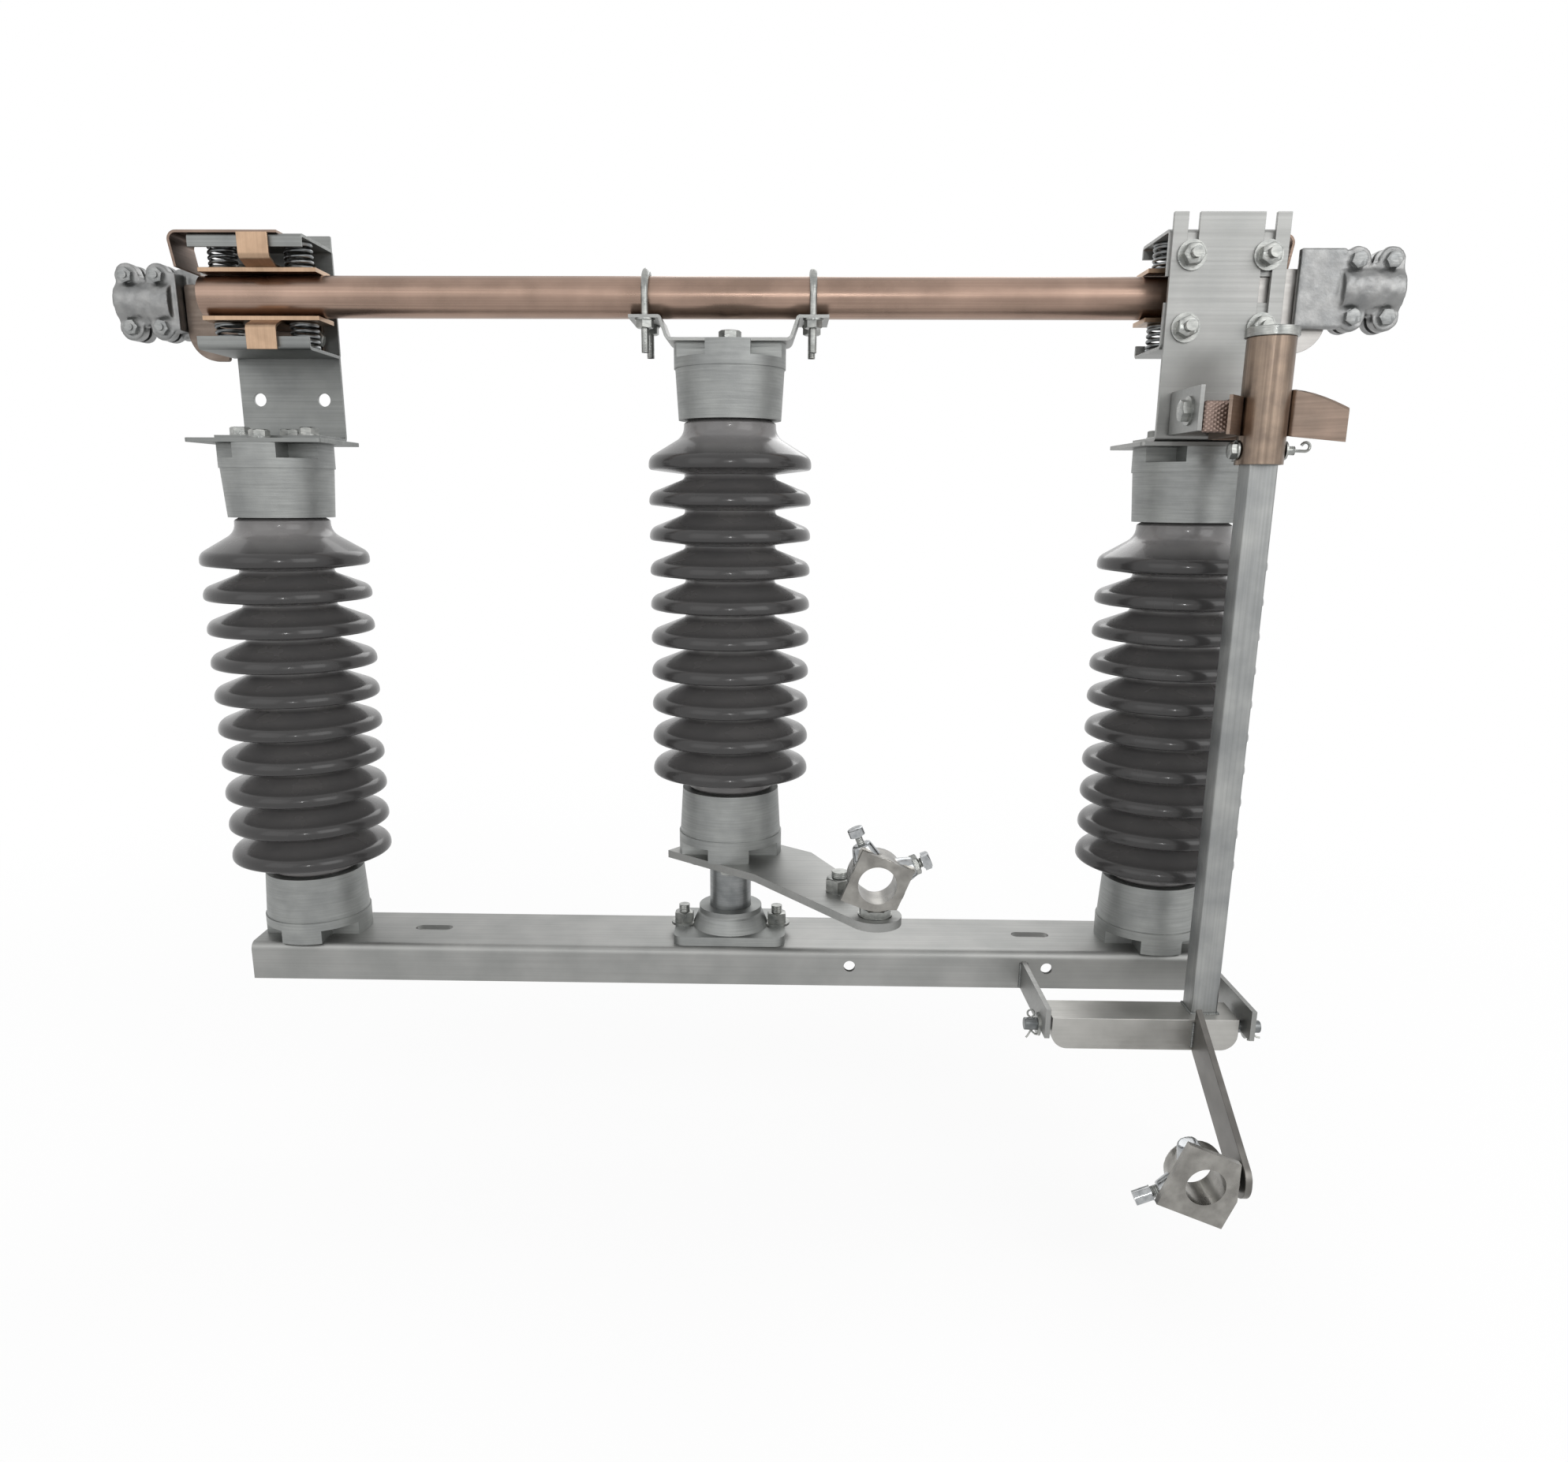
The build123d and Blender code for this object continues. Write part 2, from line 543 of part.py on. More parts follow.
def make_bracket(slotted):
    """Upright of pressed plate with a foot on the post; slotted, or drilled for an earth contact."""
    with BuildPart() as bracket:
        with BuildSketch(Plane.YZ.offset(POST_X - BRACKET_WIDTH / 2)):
            with BuildLine():
                FilletPolyline(
                    (-BRACKET_FACE_Y, bracket_top_z), (-BRACKET_FACE_Y, bracket_foot_z),
                    (-BRACKET_FACE_Y + BRACKET_FOOT, bracket_foot_z), radius=BRACKET_BEND,
                )
                offset(amount=BRACKET_WALL, side=Side.LEFT)
            make_face()
        extrude(amount=BRACKET_WIDTH)
        web_plane = Plane.XZ.offset(BRACKET_FACE_Y)
        slot_x = BRACKET_WIDTH / 2 - BRACKET_SLOT_INSET
        with BuildSketch(web_plane):
            if slotted:
                for x, depth in zip((POST_X - slot_x, POST_X + slot_x), BRACKET_SLOT_DEPTH):
                    with Locations((x, bracket_top_z - depth / 2)):
                        Rectangle(BRACKET_SLOT, depth)
                    with Locations((x, bracket_top_z - depth)):
                        Circle(BRACKET_SLOT / 2)
            else:
                hole_z = bracket_foot_z + BRACKET_HOLE_RISE
                with Locations((POST_X, hole_z)):
                    with GridLocations(BRACKET_HOLE_SPACING, 1, 2, 1):
                        Circle(BRACKET_HOLE / 2)
                with Locations((POST_X - slot_x, bracket_top_z - BRACKET_SLOT_INSET)):
                    Circle(BRACKET_SLOT / 2)
        extrude(amount=-BRACKET_WALL, mode=Mode.SUBTRACT)
    return bracket.part


save(make_bracket(True), "right_bracket")
save(make_bracket(False).rotate(Axis.Z, 180), "left_bracket")

with BuildPart() as hoods:
    for side in (1, -1):
        with BuildSketch(Plane.YZ.offset(HOOD_START)):
            with BuildLine():
                FilletPolyline(
                    (-hood_plate_y - HOOD_WALL, TUBE_Z + side * (HOOD_RISE - HOOD_LEG)),
                    (-hood_plate_y - HOOD_WALL, TUBE_Z + side * HOOD_RISE),
                    (HOOD_FRONT, TUBE_Z + side * HOOD_RISE),
                    (HOOD_FRONT, TUBE_Z + side * (HOOD_RISE - HOOD_WALL - HOOD_LIP)),
                    radius=HOOD_WALL + 2,
                )
                offset(amount=HOOD_WALL, side=Side.RIGHT if side > 0 else Side.LEFT)
            make_face()
        extrude(amount=HOOD_LENGTH)
save_contact(hoods.part, "jaw_hoods")

with BuildPart() as fingers:
    palm_y = hood_plate_y - PALM_THICKNESS
    for side in (1, -1):
        with BuildSketch(Plane.YZ.offset(JAW_X - SHOE_LENGTH / 2)):
            with Locations((0, TUBE_Z + side * (shoe_outer - SHOE_THICKNESS / 2))):
                Rectangle(SHOE_WIDTH, SHOE_THICKNESS)
        extrude(amount=SHOE_LENGTH)
        with BuildSketch(Plane.YZ.offset(JAW_X - FINGER_SHIFT - FINGER_WIDTH / 2)):
            with BuildLine():
                strip_z = shoe_outer + FINGER_THICKNESS
                finger_y = HOOD_FRONT + FINGER_FACE_GAP
                FilletPolyline(
                    (-palm_y, TUBE_Z + side * (strip_z - FINGER_TAIL)),
                    (-palm_y, TUBE_Z + side * strip_z),
                    (SHOE_WIDTH / 2, TUBE_Z + side * strip_z),
                    (finger_y, TUBE_Z + side * (strip_z + FINGER_KNEE)),
                    (finger_y, TUBE_Z + side * HOOD_RISE),
                    radius=FINGER_THICKNESS + 1.5,
                )
                offset(amount=FINGER_THICKNESS, side=Side.RIGHT if side > 0 else Side.LEFT)
            make_face()
        extrude(amount=FINGER_WIDTH)
    with BuildSketch(Plane.XZ.offset(-HOOD_FRONT)):
        with BuildLine():
            horn_end = JAW_X - HOOD_LENGTH / 4
            FilletPolyline(
                (horn_end, TUBE_Z + HOOD_RISE),
                (TUBE_END + HORN_REACH, TUBE_Z + HOOD_RISE),
                (TUBE_END + HORN_FOOT_GAP, TUBE_Z + HOOD_RISE - HORN_DROP),
                radius=6,
            )
            offset(amount=FINGER_THICKNESS, side=Side.LEFT)
        make_face()
    extrude(amount=HORN_WIDTH)
save_contact(fingers.part, "contact_fingers")

with BuildPart() as springs:
    for z in (TUBE_Z + shoe_outer, TUBE_Z - hood_inner):
        with BuildSketch(Plane.XY.offset(z)):
            with Locations((JAW_X + SPRING_SHIFT, 0)):
                with GridLocations(SPRING_SPACING, 1, 2, 1):
                    Circle(SPRING_RADIUS)
                    Circle(SPRING_RADIUS - SPRING_WALL, mode=Mode.SUBTRACT)
        extrude(amount=hood_inner - shoe_outer)
save_contact(springs.part, "contact_springs")

with BuildPart() as palm:
    with BuildSketch(Plane.XZ.offset(palm_y)):
        with BuildLine():
            palm_start, palm_end = POST_X - PALM_INSET, POST_X + PALM_REACH
            toe_start = HOOD_END + PALM_TOE_GAP
            FilletPolyline(
                (palm_start, TUBE_Z + PALM_TOP), (palm_end, TUBE_Z + PALM_TOP),
                (palm_end, TUBE_Z - PALM_TOE), (toe_start, TUBE_Z - PALM_TOE),
                (toe_start, TUBE_Z - PALM_BOTTOM), (palm_start, TUBE_Z - PALM_BOTTOM),
                radius=(3, 3, PALM_CORNER, 3, 3, 3), close=True,
            )
        make_face()
    extrude(amount=PALM_THICKNESS)
save_contact(palm.part, "palm")

with BuildPart() as terminal:
    pad_start, pad_end = HOOD_END + PAD_GAP, TERMINAL_START + PAD_OVERLAP
    with BuildSketch(Plane.XZ.offset(hood_plate_y)):
        with Locations(((pad_start + pad_end) / 2, TUBE_Z)):
            RectangleRounded(pad_end - pad_start, 2 * PAD_HALF_HEIGHT, 3)
    extrude(amount=PAD_THICKNESS)
    terminal_y = -(hood_plate_y - PALM_THICKNESS)
    with BuildSketch(Plane.YZ.offset(TERMINAL_START)):
        with Locations((terminal_y, TUBE_Z)):
            RectangleRounded(TERMINAL_DEPTH, 2 * TERMINAL_HALF_HEIGHT, TERMINAL_CORNER)
    extrude(amount=TERMINAL_LENGTH)
    with BuildSketch(Plane.YZ.offset(TERMINAL_START + TERMINAL_WEB)):
        with Locations((terminal_y, TUBE_Z)):
            Circle(CONDUCTOR_RADIUS)
            Rectangle(TERMINAL_GAP, 2 * TERMINAL_HALF_HEIGHT)
    extrude(amount=TERMINAL_LENGTH - TERMINAL_WEB, mode=Mode.SUBTRACT)
save_contact(terminal.part, "terminal")

# ---- earth switch, fixed side --------------------------------------------------------------
with BuildPart() as earth_contact_bracket:
    plate_y = -BRACKET_FACE_Y
    plate_z = EARTH_CONTACT_Z + EARTH_PLATE_LIFT - EARTH_PLATE_HEIGHT / 2
    with BuildSketch(Plane.XY.offset(plate_z)):
        with BuildLine():
            FilletPolyline(
                (POST_X - EARTH_PLATE_INSET, EARTH_FINGER_END_Y),
                (POST_X - EARTH_PLATE_INSET, plate_y),
                (POST_X + EARTH_PLATE_REACH, plate_y), radius=EARTH_PLATE_THICKNESS + 1,
            )
            offset(amount=EARTH_PLATE_THICKNESS, side=Side.RIGHT)
        make_face()
    extrude(amount=EARTH_PLATE_HEIGHT)
save(earth_contact_bracket.part, "earth_contact_bracket")

with BuildPart() as earth_contact_fingers:
    finger_base_y = plate_y - EARTH_PLATE_THICKNESS - EARTH_FINGER_THICKNESS
    finger_left = EARTH_X - BLADE_RADIUS - CONTACT_GAP
    finger_right = EARTH_X + BLADE_RADIUS + CONTACT_GAP
    flare_y = EARTH_BLADE_Y - EARTH_FLARE_NOSE
    with BuildSketch(Plane.XY.offset(EARTH_CONTACT_Z - EARTH_CONTACT_HEIGHT / 2)):
        with BuildLine():
            FilletPolyline(
                (finger_left - EARTH_FLARE[0], flare_y), (finger_left, EARTH_FINGER_END_Y),
                (finger_left, finger_base_y), (finger_right, finger_base_y),
                (finger_right, EARTH_FINGER_END_Y), (finger_right + EARTH_FLARE[1], flare_y),
                radius=5,
            )
            offset(amount=EARTH_FINGER_THICKNESS, side=Side.LEFT)
        make_face()
    extrude(amount=EARTH_CONTACT_HEIGHT)
save(earth_contact_fingers.part, "earth_contact_fingers")

for name, x in zip(("left", "right"), ARM_X):
    with BuildPart() as hinge_arm:
        with BuildSketch(Plane.YZ.offset(x - ARM_THICKNESS / 2)):
            arm_length = HINGE_REACH + ARM_NOSE
            with Locations((CHANNEL_FACE_Y - arm_length / 2, ARM_TOP_Z - ARM_HEIGHT / 2)):
                Rectangle(arm_length, ARM_HEIGHT)
            with Locations((HINGE_Y, HINGE_Z)):
                Circle(HINGE_PIN_RADIUS, mode=Mode.SUBTRACT)
        extrude(amount=ARM_THICKNESS)
    save(hinge_arm.part, f"{name}_hinge_arm")

pin_start = ARM_X[0] - HINGE_PIN_END
with BuildPart() as hinge_pin:
    with BuildSketch(Plane.YZ.offset(pin_start)):
        with Locations((HINGE_Y, HINGE_Z)):
            Circle(HINGE_PIN_RADIUS)
    extrude(amount=ARM_X[1] + HINGE_PIN_END - pin_start)
save(hinge_pin.part, "hinge_pin")

# ---- earth blade -----------------------------------------------------------------------------
bar_start = ARM_X[0] + ARM_THICKNESS / 2 + BAR_GAP
bar_end = ARM_X[1] - ARM_THICKNESS / 2 - BAR_GAP
bar_length = bar_end - bar_start
bar_middle = ((bar_start + bar_end) / 2, BAR_TOP_Z - BAR_HEIGHT / 2)
with BuildPart() as hinge_bar:
    with BuildSketch(Plane.XZ.offset(-BAR_FRONT_Y)):
        with Locations(bar_middle):
            Rectangle(bar_length, BAR_HEIGHT)
    extrude(amount=-BAR_DEPTH)
    fillet(hinge_bar.edges().filter_by(Axis.Y).group_by(Axis.Z)[0], BAR_CORNER)
    with BuildSketch(Plane.XZ.offset(-BAR_FRONT_Y - BAR_WALL)):
        with Locations((bar_middle[0], bar_middle[1] - BAR_WALL)):
            Rectangle(bar_length - 2 * BAR_WALL, BAR_HEIGHT)
    extrude(amount=2 * BAR_WALL - BAR_DEPTH, mode=Mode.SUBTRACT)
    with BuildSketch(Plane.YZ.offset(bar_start)):
        with Locations((HINGE_Y, HINGE_Z)):
            Circle(HINGE_PIN_RADIUS + RUN_CLEARANCE)
    extrude(amount=bar_length, mode=Mode.SUBTRACT)
save(hinge_bar.part, "hinge_bar")

with BuildPart() as earth_pipe:
    with BuildSketch(Plane.XY.offset(BAR_TOP_Z)):
        with Locations((EARTH_X, EARTH_BLADE_Y)):
            RectangleRounded(PIPE_SIDE, PIPE_SIDE, PIPE_WALL)
            Rectangle(PIPE_SIDE - 2 * PIPE_WALL, PIPE_SIDE - 2 * PIPE_WALL, mode=Mode.SUBTRACT)
    extrude(amount=PIPE_TOP_Z - BAR_TOP_Z)
save(earth_pipe.part, "earth_pipe")

with BuildPart() as earth_blade_tube:
    with BuildSketch(Plane.XY.offset(BLADE_BOTTOM_Z)):
        with Locations((EARTH_X, EARTH_BLADE_Y)):
            Circle(BLADE_RADIUS)
            Circle(BLADE_RADIUS - BLADE_WALL, mode=Mode.SUBTRACT)
    extrude(amount=BLADE_TOP_Z - BLADE_BOTTOM_Z)
save(earth_blade_tube.part, "earth_blade_tube")

with BuildPart() as earth_blade_cap:
    with BuildSketch(Plane.XY.offset(BLADE_TOP_Z)):
        with Locations((EARTH_X, EARTH_BLADE_Y)):
            Circle(BLADE_CAP_RADIUS)
    extrude(amount=BLADE_CAP_HEIGHT)
save(earth_blade_cap.part, "earth_blade_cap")

with BuildPart() as crank_lever:
    with BuildSketch(Plane.YZ.offset(crank_face_x)):
        with BuildLine():
            crank_top = (BAR_FRONT_Y, CRANK_TOP_Z)
            crank_bottom = (BAR_FRONT_Y, BAR_TOP_Z - BAR_HEIGHT)
            Polyline(
                crank_top, tangent_point(crank_top, CRANK_PIVOT, CRANK_WIDTH / 2, -1),
                tangent_point(crank_bottom, CRANK_PIVOT, CRANK_WIDTH / 2, 1), crank_bottom,
                close=True,
            )
        make_face()
        with Locations(CRANK_PIVOT):
            Circle(CRANK_WIDTH / 2)
            Circle(CLAMP_PIVOT_RADIUS + RUN_CLEARANCE, mode=Mode.SUBTRACT)
    extrude(amount=CRANK_THICKNESS)
save(crank_lever.part, "crank_lever")
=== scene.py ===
"""Centre-rotating disconnect switch with an earth switch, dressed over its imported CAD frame."""
import json
import math
import random

import bmesh
import bpy
from mathutils import Matrix, Vector, noise

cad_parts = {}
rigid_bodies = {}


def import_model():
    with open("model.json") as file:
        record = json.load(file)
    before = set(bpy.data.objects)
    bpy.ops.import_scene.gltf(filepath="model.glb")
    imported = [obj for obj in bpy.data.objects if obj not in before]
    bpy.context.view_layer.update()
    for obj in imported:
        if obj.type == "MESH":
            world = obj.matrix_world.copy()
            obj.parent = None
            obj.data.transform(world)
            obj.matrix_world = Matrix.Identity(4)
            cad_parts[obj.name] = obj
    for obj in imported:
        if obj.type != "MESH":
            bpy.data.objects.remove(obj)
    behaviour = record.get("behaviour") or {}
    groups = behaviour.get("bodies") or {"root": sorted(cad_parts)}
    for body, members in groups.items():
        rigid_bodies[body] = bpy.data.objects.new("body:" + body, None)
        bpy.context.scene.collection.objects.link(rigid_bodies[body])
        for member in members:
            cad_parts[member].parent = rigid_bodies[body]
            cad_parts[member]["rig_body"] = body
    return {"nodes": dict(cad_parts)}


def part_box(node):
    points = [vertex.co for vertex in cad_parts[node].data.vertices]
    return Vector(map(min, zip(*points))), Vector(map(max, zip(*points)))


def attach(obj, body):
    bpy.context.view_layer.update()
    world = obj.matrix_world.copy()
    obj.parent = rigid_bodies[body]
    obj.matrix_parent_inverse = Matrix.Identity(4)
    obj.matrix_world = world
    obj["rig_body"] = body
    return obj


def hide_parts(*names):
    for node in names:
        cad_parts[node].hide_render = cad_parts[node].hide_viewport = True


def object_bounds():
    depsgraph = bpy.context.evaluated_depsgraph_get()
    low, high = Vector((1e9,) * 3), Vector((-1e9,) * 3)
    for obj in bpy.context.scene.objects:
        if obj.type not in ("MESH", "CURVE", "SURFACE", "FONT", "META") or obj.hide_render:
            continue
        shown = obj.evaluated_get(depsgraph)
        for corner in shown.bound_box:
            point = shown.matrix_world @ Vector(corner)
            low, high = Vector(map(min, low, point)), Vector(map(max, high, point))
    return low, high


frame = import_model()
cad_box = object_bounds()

scene = bpy.context.scene
scene.view_settings.view_transform = "Standard"
nodes = frame["nodes"]

# ---- camera --------------------------------------------------------------------------------
# A wide lens about 1.1 m in front of the pole, level with the outer posts' upper caps and looking
# down by 14 degrees, with its frame shifted slightly.


def linked(name, data):
    """An object of this data, in the scene."""
    made = bpy.data.objects.new(name, data)
    scene.collection.objects.link(made)
    return made


lens = bpy.data.cameras.new("camera")
lens.lens, lens.sensor_width = 25.62, 36
lens.shift_x, lens.shift_y = 0.0163, 0.0277
lens.clip_start, lens.clip_end = 0.05, 100
camera = linked("camera", lens)
camera.location = (0.05095, -1.14087, 0.463)
camera.rotation_euler = (math.pi / 2 - 0.242, -0.005, 0.020)
scene.camera = camera

# ---- floor, backdrop and lamps -------------------------------------------------------------
# A plain white sheet of paper under the pole, lit by soft boxes in front on the right and, less
# strongly, on the left and behind. A small lamp in front and an even white room add the rest.


def srgb(code):
    """A colour given as an sRGB hex value, turned to linear light."""
    parts = [int(code[i:i + 2], 16) / 255 for i in (1, 3, 5)]
    return (*[c / 12.92 if c <= 0.04045 else ((c + 0.055) / 1.055) ** 2.4 for c in parts], 1)


def add(tree, kind, inputs=None, **settings):
    """One node of a tree: its settings by name, and its inputs each a value, an output, or a
    node whose first output feeds it.
    """
    made = tree.nodes.new(kind)
    for name, value in settings.items():
        setattr(made, name, value)
    for key, value in (inputs or {}).items():
        if isinstance(value, bpy.types.Node):
            value = value.outputs[0]
        if isinstance(value, bpy.types.NodeSocket):
            tree.links.new(value, made.inputs[key])
        else:
            made.inputs[key].default_value = value
    return made


def empty_tree(owner):
    """The node tree of a material or a world, with nothing in it."""
    owner.use_nodes = True
    owner.node_tree.nodes.clear()
    return owner.node_tree


def seen_ray(tree):
    """1 for a ray from the camera, a gloss or a glass, and 0 for one that gathers light."""
    ray = add(tree, "ShaderNodeLightPath").outputs
    seen = add(tree, "ShaderNodeMath", {0: ray["Is Camera Ray"], 1: ray["Is Glossy Ray"]},
               operation="MAXIMUM")
    return add(tree, "ShaderNodeMath", {0: seen, 1: ray["Is Transmission Ray"]},
               operation="MAXIMUM")


paper = bpy.data.materials.new("matt_white_paper")
tree = empty_tree(paper)
seen = seen_ray(tree)
away = add(tree, "ShaderNodeVectorMath", {0: add(tree, "ShaderNodeTexCoord").outputs["Object"]},
           operation="LENGTH").outputs["Value"]
share = add(tree, "ShaderNodeMapRange", {"Value": away, 1: 0.7, 2: 1.9, 3: 0.84, 4: 1.0},
            interpolation_type="SMOOTHSTEP")
glow = add(tree, "ShaderNodeMath", {0: seen, 1: share}, operation="MULTIPLY")
sheet = add(tree, "ShaderNodeBsdfDiffuse", {"Color": srgb("#f4f4f4")})
white = add(tree, "ShaderNodeEmission", {"Color": (1, 1, 1, 1), "Strength": 1.0})
shown = add(tree, "ShaderNodeMixShader", {0: glow, 1: sheet, 2: white})
add(tree, "ShaderNodeOutputMaterial", {"Surface": shown})

# the crank carries its clamp 64 mm lower than at rest, so the floor lies clear of that
CRANK_ROOM = 0.08
FLOOR_HALF = 14
floor_z = cad_box[0].z - CRANK_ROOM
floor_mesh = bpy.data.meshes.new("floor")
floor_mesh.from_pydata([(x * FLOOR_HALF, y * FLOOR_HALF, floor_z)
                        for x, y in ((-1, -1), (1, -1), (1, 1), (-1, 1))], [], [(0, 1, 2, 3)])
floor_mesh.materials.append(paper)
floor = linked("floor", floor_mesh)

room = bpy.data.worlds.new("room")
tree = empty_tree(room)
level = add(tree, "ShaderNodeMapRange", {"Value": seen_ray(tree), 3: 0.85, 4: 1.0})
air = add(tree, "ShaderNodeBackground", {"Color": (1, 1, 1, 1), "Strength": level})
add(tree, "ShaderNodeOutputWorld", {"Surface": air})
scene.world = room

LIT_POINT = Vector((0.05, 0, 0.32))
for name, place, size, power in (
    ("soft_box_left", (-1.5, -2.0, 1.4), 1.9, 8),
    ("soft_box_right", (1.7, -1.9, 1.5), 1.7, 19),
    ("soft_box_back", (0.3, 1.8, 1.6), 1.2, 8),
    ("small_lamp_front", (0.1, -2.3, 1.0), 0.14, 4),
):
    lamp = bpy.data.lights.new(name, "AREA")
    lamp.shape, lamp.size, lamp.energy = "SQUARE", size, power
    box = linked(name, lamp)
    box.location = place
    box.rotation_euler = (LIT_POINT - Vector(place)).to_track_quat("-Z", "Y").to_euler()

# ---- base channel --------------------------------------------------------------------------
# A channel pressed from 5 mm plate, web up, with fixing slots and spare holes, galvanised hot.
# The zinc has dulled to an even mid grey, with faint draw lines along the length.


def weathered_metal(name, dull, bright, patch, lines, rough, depth=0.08, wear=0.3, grain=0.0):
    """A metal finish, lengths in mm: soft patches between two tones, and lines as long, wide
    and high as given, which darken it, change its gloss and cut into it by a depth.
    """
    made = bpy.data.materials.new(name)
    tree = empty_tree(made)
    place = add(tree, "ShaderNodeTexCoord").outputs["Object"]
    cloud = add(tree, "ShaderNodeTexNoise", {"Vector": place, "Scale": 1000 / patch, "Detail": 5})
    drawn = add(tree, "ShaderNodeVectorMath", {0: place, 1: [1000 / length for length in lines]},
                operation="MULTIPLY")
    drawn = add(tree, "ShaderNodeTexNoise", {"Vector": drawn, "Scale": 1.0, "Detail": 3})
    share = add(tree, "ShaderNodeMapRange", {"Value": cloud, 1: 0.34, 2: 0.66})
    tone = add(tree, "ShaderNodeMix", {0: share, 6: srgb(dull), 7: srgb(bright)},
               data_type="RGBA").outputs[2]
    line = add(tree, "ShaderNodeMapRange", {"Value": drawn, 1: 0.35, 2: 0.75, 4: wear})
    deep = [0.6 * c for c in srgb(dull)[:3]] + [1]
    tone = add(tree, "ShaderNodeMix", {0: line, 6: tone, 7: deep}, data_type="RGBA").outputs[2]
    gloss = add(tree, "ShaderNodeMath", {0: drawn, 1: cloud}, operation="ADD")
    gloss = add(tree, "ShaderNodeMapRange", {"Value": gloss, 1: 0.7, 2: 1.3, 3: rough[0],
                                             4: rough[1]})
    height = drawn
    if grain:
        pits = add(tree, "ShaderNodeTexNoise", {"Vector": place, "Scale": 1000 / grain,
                                                "Detail": 3})
        height = add(tree, "ShaderNodeMath", {0: pits, 1: drawn}, operation="ADD")
    bump = add(tree, "ShaderNodeBump", {"Strength": 0.5, "Distance": depth / 1000,
                                        "Height": height})
    shader = add(tree, "ShaderNodeBsdfPrincipled", {"Metallic": 1.0, "Base Color": tone,
                                                    "Roughness": gloss, "Normal": bump})
    add(tree, "ShaderNodeOutputMaterial", {"Surface": shader})
    return made


SHARP = math.radians(32)


def finished(node, finish, edge=0.5, shaping=None):
    """A worked copy of a CAD node: one skin, flat faces joined, and its edges eased, in mm."""
    skin = bmesh.new()
    skin.from_mesh(nodes[node].data)
    bmesh.ops.remove_doubles(skin, verts=skin.verts, dist=2e-6)
    bmesh.ops.dissolve_limit(skin, angle_limit=math.radians(0.4), verts=skin.verts,
                             edges=skin.edges)
    if shaping:
        shaping(skin)
    mesh = bpy.data.meshes.new(f"{node}_worked")
    skin.to_mesh(mesh)
    skin.free()
    if "custom_normal" in mesh.attributes:
        mesh.attributes.remove(mesh.attributes["custom_normal"])
    mesh.materials.clear()
    mesh.materials.append(finish)
    mesh.shade_smooth()
    mesh.set_sharp_from_angle(angle=SHARP)
    piece = linked(f"{node}_worked", mesh)
    if edge:
        ease = piece.modifiers.new("eased_edges", "BEVEL")
        ease.width, ease.segments = edge / 1000, 2
        ease.limit_method, ease.angle_limit = "ANGLE", math.radians(38)
        ease.harden_normals = True
    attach(piece, nodes[node]["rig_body"])
    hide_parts(node)
    return piece


# rolled steel, hot-dip galvanised and dulled outdoors: an even grey with clouds of about 60 mm
# where the zinc has reacted more, and faint lines left by the rolls, 2 mm apart
galvanised = weathered_metal("hot_dip_galvanised_steel", "#929391", "#a4a4a2", 60, (250, 2.2, 2.2),
                             (0.42, 0.55), depth=0.04, wear=0.09)
finished("base_channel", galvanised, 0.6)

# ---- bearing housing -----------------------------------------------------------------------
# A cast bearing housing on the web in the middle, galvanised like the insulator caps, and held
# by two M12 bolts with wide washers whose nuts are on top.

# grey iron cast in sand, galvanised: the grain of the sand, about 1.5 mm, shows under the zinc
casting = weathered_metal("galvanised_grey_iron_casting", "#8b8d8c", "#a1a3a1", 35, (40, 40, 1.6),
                          (0.44, 0.6), depth=0.2, wear=0.2, grain=1.5)
finished("bearing_housing", casting, 0.8)

# cold-forged steel, zinc plated: brighter and tighter than the hot zinc, darker in its threads
plated = weathered_metal("zinc_plated_forged_steel", "#8b8d8b", "#b3b4b0", 9, (6, 6, 0.7),
                         (0.26, 0.44), depth=0.1, wear=0.45)


def geometry_tree(name, **sockets):
    """A node tree with named inputs: the tree, each input's identifier by name, and the outputs
    of its input node. A name's underscores stand for spaces.
    """
    tree = bpy.data.node_groups.new(name, "GeometryNodeTree")
    keys = {}
    for socket, kind in {"Geometry": "Geometry", **sockets}.items():
        socket = socket.replace("_", " ")
        keys[socket] = tree.interface.new_socket(socket, in_out="INPUT",
                                                 socket_type=f"NodeSocket{kind}").identifier
    tree.interface.new_socket("Geometry", in_out="OUTPUT", socket_type="NodeSocketGeometry")
    return tree, keys, add(tree, "NodeGroupInput").outputs


# One fastener is a washer, a prism cut by a cone, and a ridged thread that ends above its seat.
CROWN_SHARE = 0.47        # radius of the flat crown, of the width across flats
CHAMFER_RUN = 1.732       # run of the chamfer's cone for its height: 30 degrees
THREAD_PITCH = 0.0015
RIDGE_MEAN, RIDGE_SWING = 0.95, 0.04
fastener, fastener_inputs, given = geometry_tree(
    "fastener_set", Sides="Int", Across_flats="Float", Head_height="Float",
    Washer_radius="Float", Washer_height="Float", Thread_radius="Float", Thread_end="Float",
    Finish="Material")
half_angle = add(fastener, "ShaderNodeMath", {0: math.pi, 1: given["Sides"]}, operation="DIVIDE")
half_angle = add(fastener, "ShaderNodeMath", {0: half_angle}, operation="COSINE")
corner = add(fastener, "ShaderNodeMath", {0: given["Across flats"], 1: 0.5}, operation="MULTIPLY")
corner = add(fastener, "ShaderNodeMath", {0: corner, 1: half_angle}, operation="DIVIDE")
prism = add(fastener, "GeometryNodeMeshCylinder",
            {"Vertices": given["Sides"], "Radius": corner, "Depth": given["Head height"]})
half_head = add(fastener, "ShaderNodeMath", {0: given["Head height"], 1: 0.5}, operation="MULTIPLY")
lift = add(fastener, "ShaderNodeCombineXYZ", {"Z": half_head})
prism = add(fastener, "GeometryNodeTransform", {0: prism, "Translation": lift})
crown = add(fastener, "ShaderNodeMath", {0: given["Across flats"], 1: CROWN_SHARE},
            operation="MULTIPLY")
